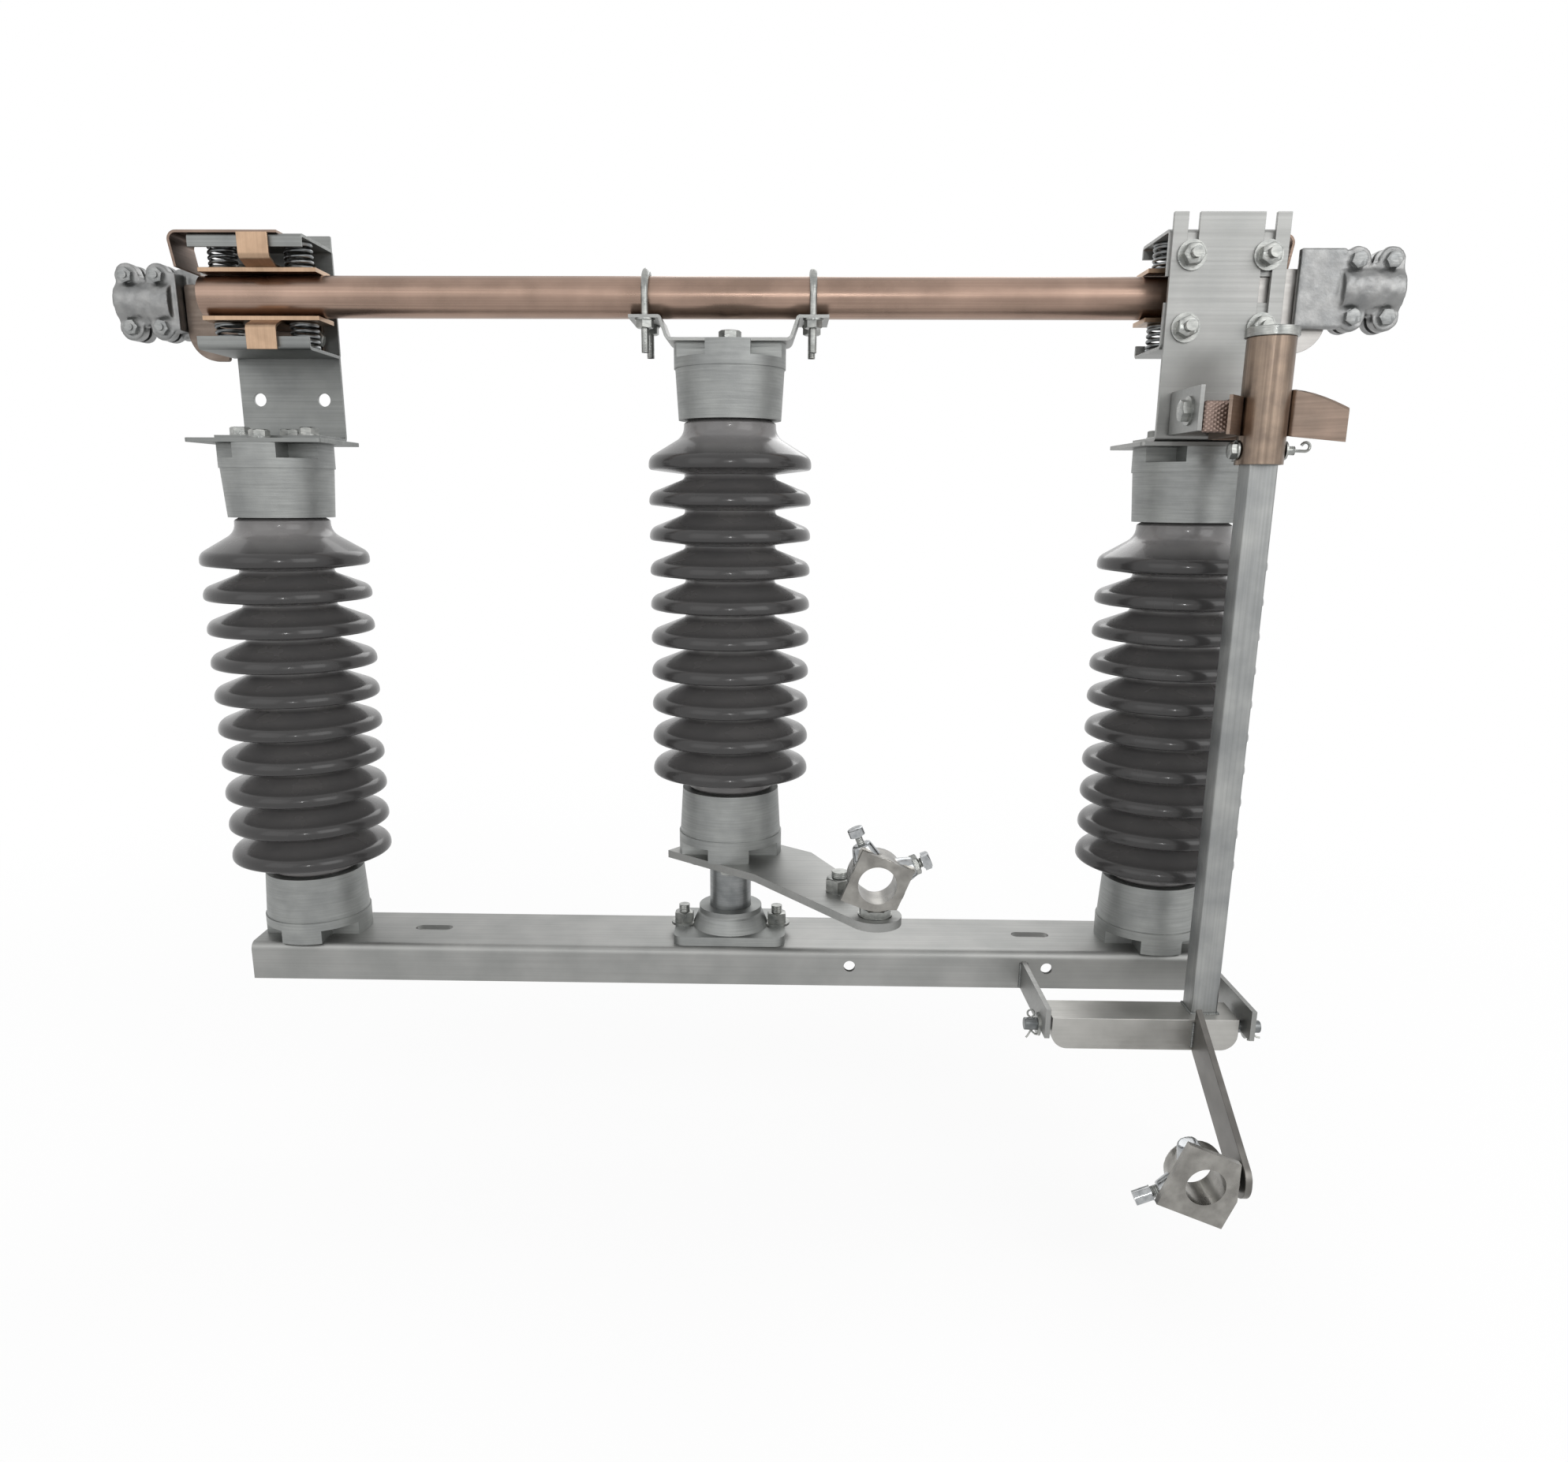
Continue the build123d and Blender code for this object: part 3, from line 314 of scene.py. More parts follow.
spread = add(fastener, "ShaderNodeMath", {0: given["Head height"], 1: CHAMFER_RUN, 2: crown},
             operation="MULTIPLY_ADD")
cone = add(fastener, "GeometryNodeMeshCone",
           {"Vertices": 48, "Radius Top": crown, "Radius Bottom": spread,
            "Depth": given["Head height"]})
head = add(fastener, "GeometryNodeMeshBoolean", operation="INTERSECT", solver="EXACT")
fastener.links.new(prism.outputs[0], head.inputs["Mesh 2"])
fastener.links.new(cone.outputs[0], head.inputs["Mesh 2"])
lift = add(fastener, "ShaderNodeCombineXYZ", {"Z": given["Washer height"]})
head = add(fastener, "GeometryNodeTransform", {0: head, "Translation": lift})
washer = add(fastener, "GeometryNodeMeshCylinder",
             {"Vertices": 40, "Radius": given["Washer radius"], "Depth": given["Washer height"]})
half_washer = add(fastener, "ShaderNodeVectorMath", {0: lift, "Scale": 0.5}, operation="SCALE")
washer = add(fastener, "GeometryNodeTransform", {0: washer, "Translation": half_washer})
rings = add(fastener, "ShaderNodeMath", {0: given["Thread end"], 1: THREAD_PITCH / 2},
            operation="DIVIDE")
thread = add(fastener, "GeometryNodeMeshCylinder",
             {"Vertices": 16, "Side Segments": rings, "Radius": given["Thread radius"],
              "Depth": given["Thread end"]})
where = add(fastener, "GeometryNodeInputPosition")
along = add(fastener, "ShaderNodeSeparateXYZ", {0: where}).outputs["Z"]
turn = add(fastener, "ShaderNodeMath", {0: along, 1: 2 * math.pi / THREAD_PITCH},
           operation="MULTIPLY")
turn = add(fastener, "ShaderNodeMath", {0: turn}, operation="COSINE")
ridge = add(fastener, "ShaderNodeMath", {0: turn, 1: RIDGE_SWING, 2: RIDGE_MEAN},
            operation="MULTIPLY_ADD")
ridge = add(fastener, "ShaderNodeCombineXYZ", {0: ridge, 1: ridge, 2: 1.0})
where = add(fastener, "ShaderNodeVectorMath", {0: where, 1: ridge}, operation="MULTIPLY")
thread = add(fastener, "GeometryNodeSetPosition", {0: thread, "Position": where})
lift = add(fastener, "ShaderNodeCombineXYZ", {"Z": given["Thread end"]})
lift = add(fastener, "ShaderNodeVectorMath", {0: lift, "Scale": 0.5}, operation="SCALE")
thread = add(fastener, "GeometryNodeTransform", {0: thread, "Translation": lift})
whole = add(fastener, "GeometryNodeJoinGeometry")
for part in (washer, head, thread):
    fastener.links.new(part.outputs[0], whole.inputs[0])
aim = add(fastener, "GeometryNodeInputNamedAttribute", {"Name": "aim"}, data_type="FLOAT_VECTOR")
spin = add(fastener, "GeometryNodeInputNamedAttribute", {"Name": "spin"}, data_type="FLOAT")
aimed = add(fastener, "FunctionNodeAlignRotationToVector", {"Vector": aim}, axis="Z")
spun = add(fastener, "FunctionNodeAxisAngleToRotation", {"Axis": (0, 0, 1), "Angle": spin})
aimed = add(fastener, "FunctionNodeRotateRotation", {0: aimed, 1: spun}, rotation_space="LOCAL")
whole = add(fastener, "GeometryNodeInstanceOnPoints",
            {"Points": given["Geometry"], "Instance": whole, "Rotation": aimed})
whole = add(fastener, "GeometryNodeRealizeInstances", {0: whole})
whole = add(fastener, "GeometryNodeSetMaterial", {0: whole, "Material": given["Finish"]})
add(fastener, "NodeGroupOutput", {0: whole})


def grown(name, body, tree, inputs, mesh, values):
    """The plain mesh that a node tree makes of a mesh, on a body: its values go in by name."""
    seed = linked(name, mesh)
    modifier = seed.modifiers.new(tree.name, "NODES")
    modifier.node_group = tree
    for key, value in values.items():
        modifier[inputs[key]] = value
    deps = bpy.context.evaluated_depsgraph_get()
    made = bpy.data.meshes.new_from_object(seed.evaluated_get(deps))
    bpy.data.objects.remove(seed)
    skin = bmesh.new()
    skin.from_mesh(made)
    bmesh.ops.recalc_face_normals(skin, faces=skin.faces)
    skin.to_mesh(made)
    skin.free()
    made.shade_smooth()
    made.set_sharp_from_angle(angle=SHARP)
    piece = linked(name, made)
    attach(piece, body)
    return piece


spins = random.Random(11)


def fasteners(name, body, places, flats=17, head=6.4, washer=(10, 2), thread=(5, 5), sides=6,
              finish=plated, spin=None):
    """Bolt heads or nuts, in mm: each place is a seat and the way that the head points. A washer
    and a thread are a radius and a height over the seat.
    """
    mesh = bpy.data.meshes.new(name)
    mesh.from_pydata([[c / 1000 for c in seat] for seat, _ in places], [], [])
    aims = mesh.attributes.new("aim", "FLOAT_VECTOR", "POINT")
    aims.data.foreach_set("vector", [c for _, way in places for c in way])
    turns = [spins.uniform(0, 1.05) if spin is None else spin for _ in places]
    mesh.attributes.new("spin", "FLOAT", "POINT").data.foreach_set("value", turns)
    return grown(name, body, fastener, fastener_inputs, mesh, {
        "Sides": sides, "Across flats": flats / 1000, "Head height": head / 1000,
        "Washer radius": washer[0] / 1000, "Washer height": washer[1] / 1000,
        "Thread radius": thread[0] / 1000, "Thread end": thread[1] / 1000, "Finish": finish})


UP, DOWN, FRONT, LEFT, RIGHT = (0, 0, 1), (0, 0, -1), (0, -1, 0), (-1, 0, 0), (1, 0, 0)
web_top = 1000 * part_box("left_lower_cap")[0].z
flange_top = web_top + 10
HOUSING_BOLTS = (-50, 50)
fasteners("housing_nuts", "base", [((x, 0, flange_top), UP) for x in HOUSING_BOLTS],
          flats=19, head=10.8, washer=(14, 2.5), thread=(6, 21))
fasteners("housing_bolt_heads", "base", [((x, 0, 0), DOWN) for x in HOUSING_BOLTS],
          flats=19, head=7.5, washer=(12, 2))

# ---- drive shaft and lever -----------------------------------------------------------------
# A turned steel stub shaft stands in the housing, and the lever plate is welded on top of it.
# The centre post bolts to the plate from below and turns with it, and a stop bolt stands on it.

# turned steel, oiled and gone dull: fine tool rings, 0.9 mm apart, round the shaft
turned = weathered_metal("turned_steel_oiled", "#6f7273", "#949696", 20, (120, 120, 0.9),
                         (0.28, 0.44), depth=0.06, wear=0.35)
finished("drive_shaft", turned, 0.5)
finished("drive_lever", galvanised, 0.6)

# A round section swept along a path: plain it is wire, and rippled it is a run of weld.
swept, swept_inputs, given = geometry_tree(
    "round_section_on_path", Radius="Float", Ripple="Float", Ripple_pitch="Float", Seed="Float",
    Finish="Material")
path = add(swept, "GeometryNodeMeshToCurve", {0: given["Geometry"]})
gap = add(swept, "ShaderNodeMath", {0: given["Ripple pitch"], 1: 5.0}, operation="DIVIDE")
path = add(swept, "GeometryNodeResampleCurve", {0: path, "Length": gap}, mode="LENGTH")
along = add(swept, "GeometryNodeSplineParameter").outputs["Length"]
wave = add(swept, "ShaderNodeMath", {0: along, 1: given["Ripple pitch"]}, operation="DIVIDE")
wave = add(swept, "ShaderNodeMath", {0: wave}, operation="FRACT")
rough_noise = add(swept, "ShaderNodeTexNoise",
                  {"Vector": add(swept, "GeometryNodeInputPosition"), "W": given["Seed"],
                   "Scale": 320.0, "Detail": 1}, noise_dimensions="4D")
wave = add(swept, "ShaderNodeMath", {0: wave, 1: rough_noise}, operation="ADD")
wave = add(swept, "ShaderNodeMath", {0: wave, 1: given["Ripple"]}, operation="MULTIPLY")
width = add(swept, "ShaderNodeMath", {0: 1.0, 1: wave}, operation="SUBTRACT")
ring = add(swept, "GeometryNodeCurvePrimitiveCircle", {"Resolution": 10, "Radius": given["Radius"]})
tube = add(swept, "GeometryNodeCurveToMesh", {0: path, 1: ring, "Scale": width, "Fill Caps": True})
tube = add(swept, "GeometryNodeRealizeInstances", {0: tube})
tube = add(swept, "GeometryNodeSetMaterial", {0: tube, "Material": given["Finish"]})
add(swept, "NodeGroupOutput", {0: tube})

# steel weld run by hand and painted over with cold zinc: darker and rougher than the plate
weld_metal = weathered_metal("arc_weld_zinc_painted", "#7a7c7b", "#929492", 6, (3, 3, 3),
                             (0.4, 0.6), depth=0.3, wear=0.5)


def along_paths(name, body, finish, paths, radius, ripple=0.0, pitch=2.4):
    """Wire or weld along each list of points, in mm; a closed path ends where it starts."""
    mesh = bpy.data.meshes.new(name)
    points, edges = [], []
    for line in paths:
        closed = (Vector(line[0]) - Vector(line[-1])).length < 1e-6
        line = line[:-1] if closed else line
        first = len(points)
        points += [[c / 1000 for c in point] for point in line]
        edges += [(i, i + 1) for i in range(first, len(points) - 1)]
        if closed:
            edges.append((len(points) - 1, first))
    mesh.from_pydata(points, edges, [])
    return grown(name, body, swept, swept_inputs, mesh, {
        "Radius": radius / 1000, "Ripple": ripple, "Ripple pitch": pitch / 1000,
        "Seed": 3.0, "Finish": finish})


def ring_of(centre, radius, across, up, count=48, start=0.0, sweep=2 * math.pi):
    """Points in mm round a circle or an arc of it, in the plane of two directions."""
    centre, across, up = Vector(centre), Vector(across), Vector(up)
    return [centre + radius * (across * math.cos(start + sweep * i / count)
                               + up * math.sin(start + sweep * i / count))
            for i in range(count + 1)]


CAP_BOLT = 34             # each post bolt from its post's axis
LEVER_END = 139, -190     # the drive clamp's pivot
STOP_BOLT = 110, -128
lever_foot, lever_top = (1000 * corner.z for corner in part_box("drive_lever"))
pivot = Vector((*LEVER_END, lever_top))
along_paths("shaft_weld", "blade", weld_metal,
            [ring_of((0, 0, lever_foot - 0.6), 23, RIGHT, (0, 1, 0))], 2.3, 0.22)
fasteners("centre_post_bolts", "blade",
          [((x * CAP_BOLT, y * CAP_BOLT, lever_foot), DOWN)
           for x, y in ((1, 0), (-1, 0), (0, 1), (0, -1))])
fasteners("lever_stop_bolt", "blade", [((*STOP_BOLT, lever_top), UP)], flats=24, head=13,
          washer=(13, 0.8), thread=(8, 20), spin=0.35)
fasteners("lever_stop_nut", "blade", [((*STOP_BOLT, lever_foot), DOWN)], flats=24, head=10,
          washer=(13, 0.8), thread=(8, 15))

# ---- insulator caps ------------------------------------------------------------------------
# Cast caps cemented on the ends of each post, with four feet and a machined ledge. Four M10 bolts
# in tapped holes hold each: from under the channel, and through the contacts' seat plates.
POST_X = 450
for side in ("left", "centre", "right"):
    for end in ("lower", "upper"):
        finished(f"{side}_{end}_cap", casting, 0.6)
fasteners("outer_post_bolts", "base",
          [((side * POST_X + x, 0, 0), DOWN) for side in (-1, 1) for x in (-CAP_BOLT, CAP_BOLT)])
fasteners("outer_post_bolts_by_flanges", "base",
          [((side * POST_X, y, -0.3), DOWN) for side in (-1, 1) for y in (-33, 33)],
          flats=16, washer=(7.6, 0.5), spin=math.pi / 6)

# ---- porcelain -----------------------------------------------------------------------------
# Each post is turned from one clay body with ten sheds, glazed dark grey-brown and fired. Its
# ends are cemented into the caps. The colour is painted darker over the shed tips and paler at
# the core: painted light that brightens the shaded recesses between the sheds.
SHED_COUNT, SHED_PITCH, SHED_REACH = 10, 33.8, 80.0
SHED_TOP, SHED_UNDER, SHED_RISE, SHED_DROP, FIRST_SHED = 6.5, 4.6, 20.6, 9.0, 92.0
CORE, PIN, PIN_DEPTH, CAP_RIM, POST_HEIGHT = 45.0, 40.0, 40, 70.0, 508.0
last_tip = FIRST_SHED + (SHED_COUNT - 1) * SHED_PITCH
below = (SHED_RISE - SHED_PITCH - SHED_DROP) / 2


def rounded(corners, steps=6):
    """Points along a line whose corners, given as (radius from axis, height, fillet), are round."""
    points = []
    for i, (x, z, radius) in enumerate(corners):
        here = Vector((x, z))
        if not radius:
            points.append(here)
            continue
        before = (Vector(corners[i - 1][:2]) - here).normalized()
        after = (Vector(corners[i + 1][:2]) - here).normalized()
        half_turn = before.angle(after) / 2
        middle = here + (before + after).normalized() * (radius / math.sin(half_turn))
        start = here + before * (radius / math.tan(half_turn)) - middle
        sweep = start.angle_signed(here + after * (radius / math.tan(half_turn)) - middle)
        for step in range(steps + 1):
            points.append(middle + Matrix.Rotation(-sweep * step / steps, 2) @ start)
    return points


def shed_line(rise, root, end):
    """Half outline of one shed, from mid-core below it up to an end on the core. Its tip is at
    height 0.
    """
    return rounded([
        (CORE, below, 0), (CORE, -SHED_DROP, 1.3), (SHED_REACH, -SHED_UNDER, 3.4),
        (SHED_REACH, SHED_TOP, 10.4), (CORE, rise, root), (CORE, end, 0)])


# glazed electrical porcelain: a glassy coat over a dark body, with slow ripples 12 mm apart from
# the dipping; its colour is painted darker on the tips and paler at the core, as painted light
# in the shaded recesses between the sheds
glaze = bpy.data.materials.new("dipped_brown_porcelain_glaze")
tree = empty_tree(glaze)
place = add(tree, "ShaderNodeTexCoord").outputs["Object"]
cloud = add(tree, "ShaderNodeTexNoise", {"Vector": place, "Scale": 1 / 0.035, "Detail": 4})
reach = add(tree, "ShaderNodeAttribute", attribute_name="reach").outputs["Fac"]
tone = add(tree, "ShaderNodeMix",
           {0: add(tree, "ShaderNodeMapRange", {"Value": cloud, 1: 0.3, 2: 0.7}),
            6: srgb("#6b6a6a"), 7: srgb("#777574")}, data_type="RGBA").outputs[2]
# painted light: the colour darkens towards the shed tips, so the paler core stands in for light in
# the recesses
tip_painted_shade = add(tree, "ShaderNodeMapRange", {"Value": reach, 1: 0.052, 2: 0.079})
tone = add(tree, "ShaderNodeMix", {0: tip_painted_shade, 6: tone, 7: srgb("#343333")},
           data_type="RGBA").outputs[2]
gloss = add(tree, "ShaderNodeMapRange", {"Value": cloud, 1: 0.3, 2: 0.7, 3: 0.2, 4: 0.3})
ripple = add(tree, "ShaderNodeTexNoise", {"Vector": place, "Scale": 1 / 0.012, "Detail": 2})
bump = add(tree, "ShaderNodeBump", {"Strength": 0.15, "Distance": 0.0006, "Height": ripple})
shader = add(tree, "ShaderNodeBsdfPrincipled",
             {"Base Color": tone, "Roughness": gloss, "Normal": bump,
              "Specular IOR Level": 0.3, "Coat Weight": 0.22, "Coat Roughness": 0.05})
add(tree, "ShaderNodeOutputMaterial", {"Surface": shader})

# The stack: one shed's half outline is repeated up the post, joined to the necks, and turned.
stack, stack_inputs, given = geometry_tree(
    "shed_stack", Sheds="Int", Pitch="Float", First_shed="Float", Turns="Int", Post_at="Vector",
    Glaze="Material")
start = add(stack, "ShaderNodeCombineXYZ", {1: given["First shed"]})
step = add(stack, "ShaderNodeCombineXYZ", {1: given["Pitch"]})
repeat = add(stack, "GeometryNodeMeshLine",
             {"Count": given["Sheds"], "Start Location": start, "Offset": step})
one_shed = add(stack, "GeometryNodeInputNamedAttribute", {"Name": "one_shed"},
               data_type="BOOLEAN")
parted = add(stack, "GeometryNodeSeparateGeometry",
             {"Geometry": given["Geometry"], "Selection": one_shed})
sheds = add(stack, "GeometryNodeInstanceOnPoints",
            {"Points": repeat, "Instance": parted})
sheds = add(stack, "GeometryNodeRealizeInstances", {0: sheds})
line = add(stack, "GeometryNodeJoinGeometry")
stack.links.new(sheds.outputs[0], line.inputs[0])
stack.links.new(parted.outputs[1], line.inputs[0])
line = add(stack, "GeometryNodeMergeByDistance", {0: line, "Distance": 2e-5})
line = add(stack, "GeometryNodeMeshToCurve", {0: line})
turn = add(stack, "GeometryNodeCurvePrimitiveCircle",
           {"Resolution": given["Turns"], "Radius": CORE / 1000})
body = add(stack, "GeometryNodeCurveToMesh", {0: turn, 1: line})
body = add(stack, "GeometryNodeMergeByDistance", {0: body, "Distance": 1e-5})
flat = add(stack, "ShaderNodeVectorMath",
           {0: add(stack, "GeometryNodeInputPosition"), 1: (1, 1, 0)},
           operation="MULTIPLY")
reach = add(stack, "ShaderNodeVectorMath", {0: flat}, operation="LENGTH").outputs["Value"]
body = add(stack, "GeometryNodeStoreNamedAttribute",
           {"Geometry": body, "Name": "reach", "Value": reach},
           data_type="FLOAT", domain="POINT")
body = add(stack, "GeometryNodeTransform",
           {"Geometry": body, "Translation": given["Post at"], "Rotation": (math.pi, 0, 0)})
body = add(stack, "GeometryNodeRealizeInstances", {0: body})
body = add(stack, "GeometryNodeSetMaterial", {"Geometry": body, "Material": given["Glaze"]})
add(stack, "NodeGroupOutput", {0: body})


def outline_mesh(name, lines):
    """Edges through each list of (radius, height) points in mm, the first list one shed's."""
    points, edges, single = [], [], []
    for number, line in enumerate(lines):
        first = len(points)
        points += [((x - CORE) / 1000, z / 1000, 0) for x, z in line]
        edges += [(i, i + 1) for i in range(first, len(points) - 1)]
        single += [number == 0] * len(line)
    mesh = bpy.data.meshes.new(name)
    mesh.from_pydata(points, edges, [])
    mesh.attributes.new("one_shed", "BOOLEAN", "POINT").data.foreach_set("value", single)
    return mesh


foot = rounded([(0, CAP_RIM - PIN_DEPTH, 0), (PIN, CAP_RIM - PIN_DEPTH, 0), (PIN, CAP_RIM, 0),
                (CORE, CAP_RIM + 3, 2), (CORE, FIRST_SHED + below, 0)])
upper_rim = POST_HEIGHT - CAP_RIM
neck = upper_rim - 5.5
head = [Vector((x, z + last_tip)) for x, z in shed_line(27.4, 15, neck - last_tip)[:-1]]
head += rounded([(CORE, neck, 0), (CORE, upper_rim - 3, 2), (PIN, upper_rim, 0),
                 (PIN, upper_rim + PIN_DEPTH, 0), (0, upper_rim + PIN_DEPTH, 0)])
for side, x in (("left", -POST_X / 1000), ("centre", 0), ("right", POST_X / 1000)):
    node = f"{side}_porcelain"
    foot_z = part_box(f"{side}_lower_cap")[0].z
    post = grown(f"{node}_glazed", nodes[node]["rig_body"], stack, stack_inputs,
                 outline_mesh(node, [shed_line(SHED_RISE, 4, below + SHED_PITCH), foot, head]),
                 {"Sheds": SHED_COUNT - 1, "Pitch": SHED_PITCH / 1000,
                  "First shed": FIRST_SHED / 1000, "Turns": 144, "Post at": (x, 0, foot_z),
                  "Glaze": glaze})
    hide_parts(node)

# ---- rod clamps ----------------------------------------------------------------------------
# Cast steel clamps for the operating rods, one on the drive lever and one on the crank. Set screws
# in the bosses bite on the rod, and each clamp turns on a pivot held by a ring.


def shape_object(name, shapes, place=Matrix()):
    """An object made of blocks (low, high) and bars (start, end, radius, end radius), in mm."""
    skin = bmesh.new()
    for low, high, *radii in shapes:
        low, high = Vector(low) / 1000, Vector(high) / 1000
        middle = Matrix.Translation((low + high) / 2)
        if radii:
            turned_to = (high - low).to_track_quat("Z", "Y").to_matrix().to_4x4()
            bmesh.ops.create_cone(skin, cap_ends=True, segments=48, radius1=radii[0] / 1000,
                                  radius2=radii[-1] / 1000, depth=(high - low).length,
                                  matrix=place @ middle @ turned_to)
        else:
            bmesh.ops.create_cube(skin, size=1,
                                  matrix=place @ middle @ Matrix.Diagonal((*(high - low), 1)))
    mesh = bpy.data.meshes.new(name)
    skin.to_mesh(mesh)
    skin.free()
    return linked(name, mesh)


def evaluated(piece):
    """A piece's mesh with its modifiers worked in; the piece itself goes."""
    deps = bpy.context.evaluated_depsgraph_get()
    mesh = bpy.data.meshes.new_from_object(piece.evaluated_get(deps))
    bpy.data.objects.remove(piece)
    return mesh


def one_casting(name, shapes, place=Matrix(), voxel=1.3, rounds=7):
    """The mesh of one casting: shapes that overlap, joined, with small fillets where they meet."""
    lump = shape_object(name, shapes, place)
    remesh = lump.modifiers.new("one_casting", "REMESH")
    remesh.mode, remesh.voxel_size = "VOXEL", voxel / 1000
    soften = lump.modifiers.new("fillets", "SMOOTH")
    soften.factor, soften.iterations = 0.6, rounds
    return evaluated(lump)


def machined(name, node, mesh, cuts, place=Matrix(), joined=None):
    """A casting with a plate joined on and holes and slits cut in it, standing for a CAD node."""
    piece = linked(name, mesh)
    cutters = [joined] if joined else []
    cutters += [shape_object(f"cut_{i}", [cut], place) for i, cut in enumerate(cuts)]
    for cutter in cutters:
        cut = piece.modifiers.new(cutter.name, "BOOLEAN")
        cut.operation = "UNION" if cutter is joined else "DIFFERENCE"
        cut.object, cut.solver = cutter, "EXACT"
    mesh = evaluated(piece)
    for cutter in cutters:
        bpy.data.objects.remove(cutter)
    mesh.name = name
    mesh.shade_smooth()
    mesh.set_sharp_from_angle(angle=math.radians(50))
    piece = linked(name, mesh)
    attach(piece, nodes[node]["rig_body"])
    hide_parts(node)
    return piece


# cast steel, zinc plated: smoother and darker than the iron caps
cast_steel = weathered_metal("zinc_plated_steel_casting", "#85837f", "#a3a19c", 14, (25, 25, 25),
                             (0.22, 0.36), depth=0.08, wear=0.3, grain=2.5)
# bright zinc on the machined lobes and set screws: the glossiest metal here
bright_zinc = weathered_metal("bright_zinc_machined", "#8f9294", "#c2c4c5", 6, (6, 6, 6),
                              (0.14, 0.26), depth=0.04, wear=0.3)
drive_rod = Vector((*LEVER_END, 132))
crank_rod = Vector((419, -276, -106))
BOSS_TURNS = 113, 203     # a clamp's two bosses, in degrees from the way to its pivot
BOSS_END = 34             # where they end, from the rod's middle
ROD_BORE, RING = 17.2, 25.6
PLATE = [(-17.1, 40.3), (-40.3, -17.1), (17.1, -40.3), (28, -13.4), (28, 22.1)]
for node, rod, pivot_turn, spread in (("drive_rod_clamp", drive_rod, -90, 0.8),
                                      ("crank_rod_clamp", crank_rod, 0, 1.0)):
    # in here x points at the pivot, y to the left of it and z to the front, along the rod
    front_up = Matrix(((1, 0, 0, 0), (0, 0, -1, 0), (0, 1, 0, 0), (0, 0, 0, 1)))
    place = (Matrix.Translation(rod / 1000) @ Matrix.Rotation(math.radians(-pivot_turn), 4, "Y")
             @ front_up)
    bosses = [(math.cos(math.radians(turn)), math.sin(math.radians(turn))) for turn in BOSS_TURNS]
    mesh = one_casting(node, [
        ((0, 0, -16.6), (0, 0, 16.8), RING),
        *[((10 * x, 10 * y, 2), (37 * x, 37 * y, 2), 17, 8.5) for x, y in bosses],
        ((0, 0, 0), (31.5, 0, 0), 13.5)], place, 1.2, 5)
    mesh.materials.append(cast_steel)
    plate = bpy.data.meshes.new("face_plate")
    plate.from_pydata([place @ Vector((spread * x / 1000, spread * y / 1000, z / 1000))
                       for z in (10.8, 17) for x, y in PLATE],
                      [], [(4, 3, 2, 1, 0), (5, 6, 7, 8, 9)]
                      + [(i, (i + 1) % 5, (i + 1) % 5 + 5, i + 5) for i in range(5)])
    plate = linked("face_plate", plate)
    cast = machined(f"{node}_cast", node, mesh, [((0, 0, -40), (0, 0, 40), ROD_BORE)],
                    place, plate)
    cast.data.materials.append(bright_zinc)
    for face in cast.data.polygons:
        x, y, z = 1000 * (place.inverted() @ face.center)
        if math.hypot(x, y) > RING + 1 and x < 12 and z < 10.5:
            face.material_index = 1


def set_screw(name, body, centre, turn, shank, neck, flats, head, nut=0, sides=28):
    """A set screw in mm, in the boss that lies at an angle in degrees from +X in the XZ plane.

    A locknut has the flats given as nut, and the head has as many sides as given.
    """
    out = Vector((math.cos(math.radians(turn)), 0, math.sin(math.radians(turn))))
    boss = Vector(centre) + BOSS_END * out
    fasteners(f"{name}_shank", body, [(boss, out)], flats=nut or 2 * shank + 3,
              head=6.5 if nut else 1.5, washer=(shank + 1, 0.5), thread=(shank, neck + 2))
    fasteners(f"{name}_head", body, [(boss + neck * out, out)], flats=flats, head=head, sides=sides,
              washer=(shank + 1.4, 0.8), thread=(3, 1), spin=math.pi / 4, finish=bright_zinc)


set_screw("drive_upper_screw", "drive_clamp", drive_rod, 113, 3.4, 10, 14, 7)
set_screw("drive_right_screw", "drive_clamp", drive_rod, 23, 4.5, 10, 13, 7, nut=16, sides=4)
set_screw("crank_screw", "crank_clamp", crank_rod, 203, 5.4, 9, 13, 15)
fasteners("drive_pivot_nut", "drive_clamp", [(pivot + Vector((0, 0, 0.3)), UP)], flats=27, head=9,
          washer=(15.5, 1), thread=(8, 8), spin=math.pi / 6)
fasteners("drive_pivot_ring", "drive_clamp", [(pivot - Vector((0, 0, 8.3)), DOWN)], flats=24,
          head=2, sides=32, washer=(11.5, 0.5), thread=(7.5, 2))
fasteners("crank_pivot_ring", "crank_clamp", [((458.3, -276, -106), RIGHT)], flats=24, head=2,
          sides=32, washer=(11.5, 0.5), thread=(7.5, 2))

# ---- saddle and main blade -----------------------------------------------------------------
# A bent plate, bolted on the centre post by one bolt, carries the copper tube. Two U-bolts hold
# the tube on the plate's lips, with nuts under them.
finished("blade_saddle", galvanised, 0.4)
for side in ("left", "right"):
    finished(f"{side}_u_bolt", plated, 0)
saddle_top = 1000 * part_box("centre_upper_cap")[1].z + 3
lip_under = 1000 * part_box("blade_saddle")[1].z - 3
leg_end = 1000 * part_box("left_u_bolt")[0].z
fasteners("saddle_bolt", "blade", [((0, 0, saddle_top), UP)], flats=19, head=9, washer=(9.6, 0.8),
          thread=(6, 6), spin=0.1)
fasteners("u_bolt_nuts", "blade",
          [((x, y, lip_under), DOWN) for x in (-79, 79) for y in (-22.7, 22.7)],
          flats=15, head=7, washer=(9.5, 1.6), thread=(3.8, lip_under - leg_end))

# copper drawn to a tube and gone brown in the air: clouds of 50 mm of thicker and thinner tarnish,
# with fine die lines along the tube
tube_copper = weathered_metal("drawn_copper_tube_tarnished", "#927c6f", "#aa9182", 50,
                              (300, 1.6, 1.6), (0.24, 0.4), depth=0.05, wear=0.35)
finished("blade_tube", tube_copper, 0.4)

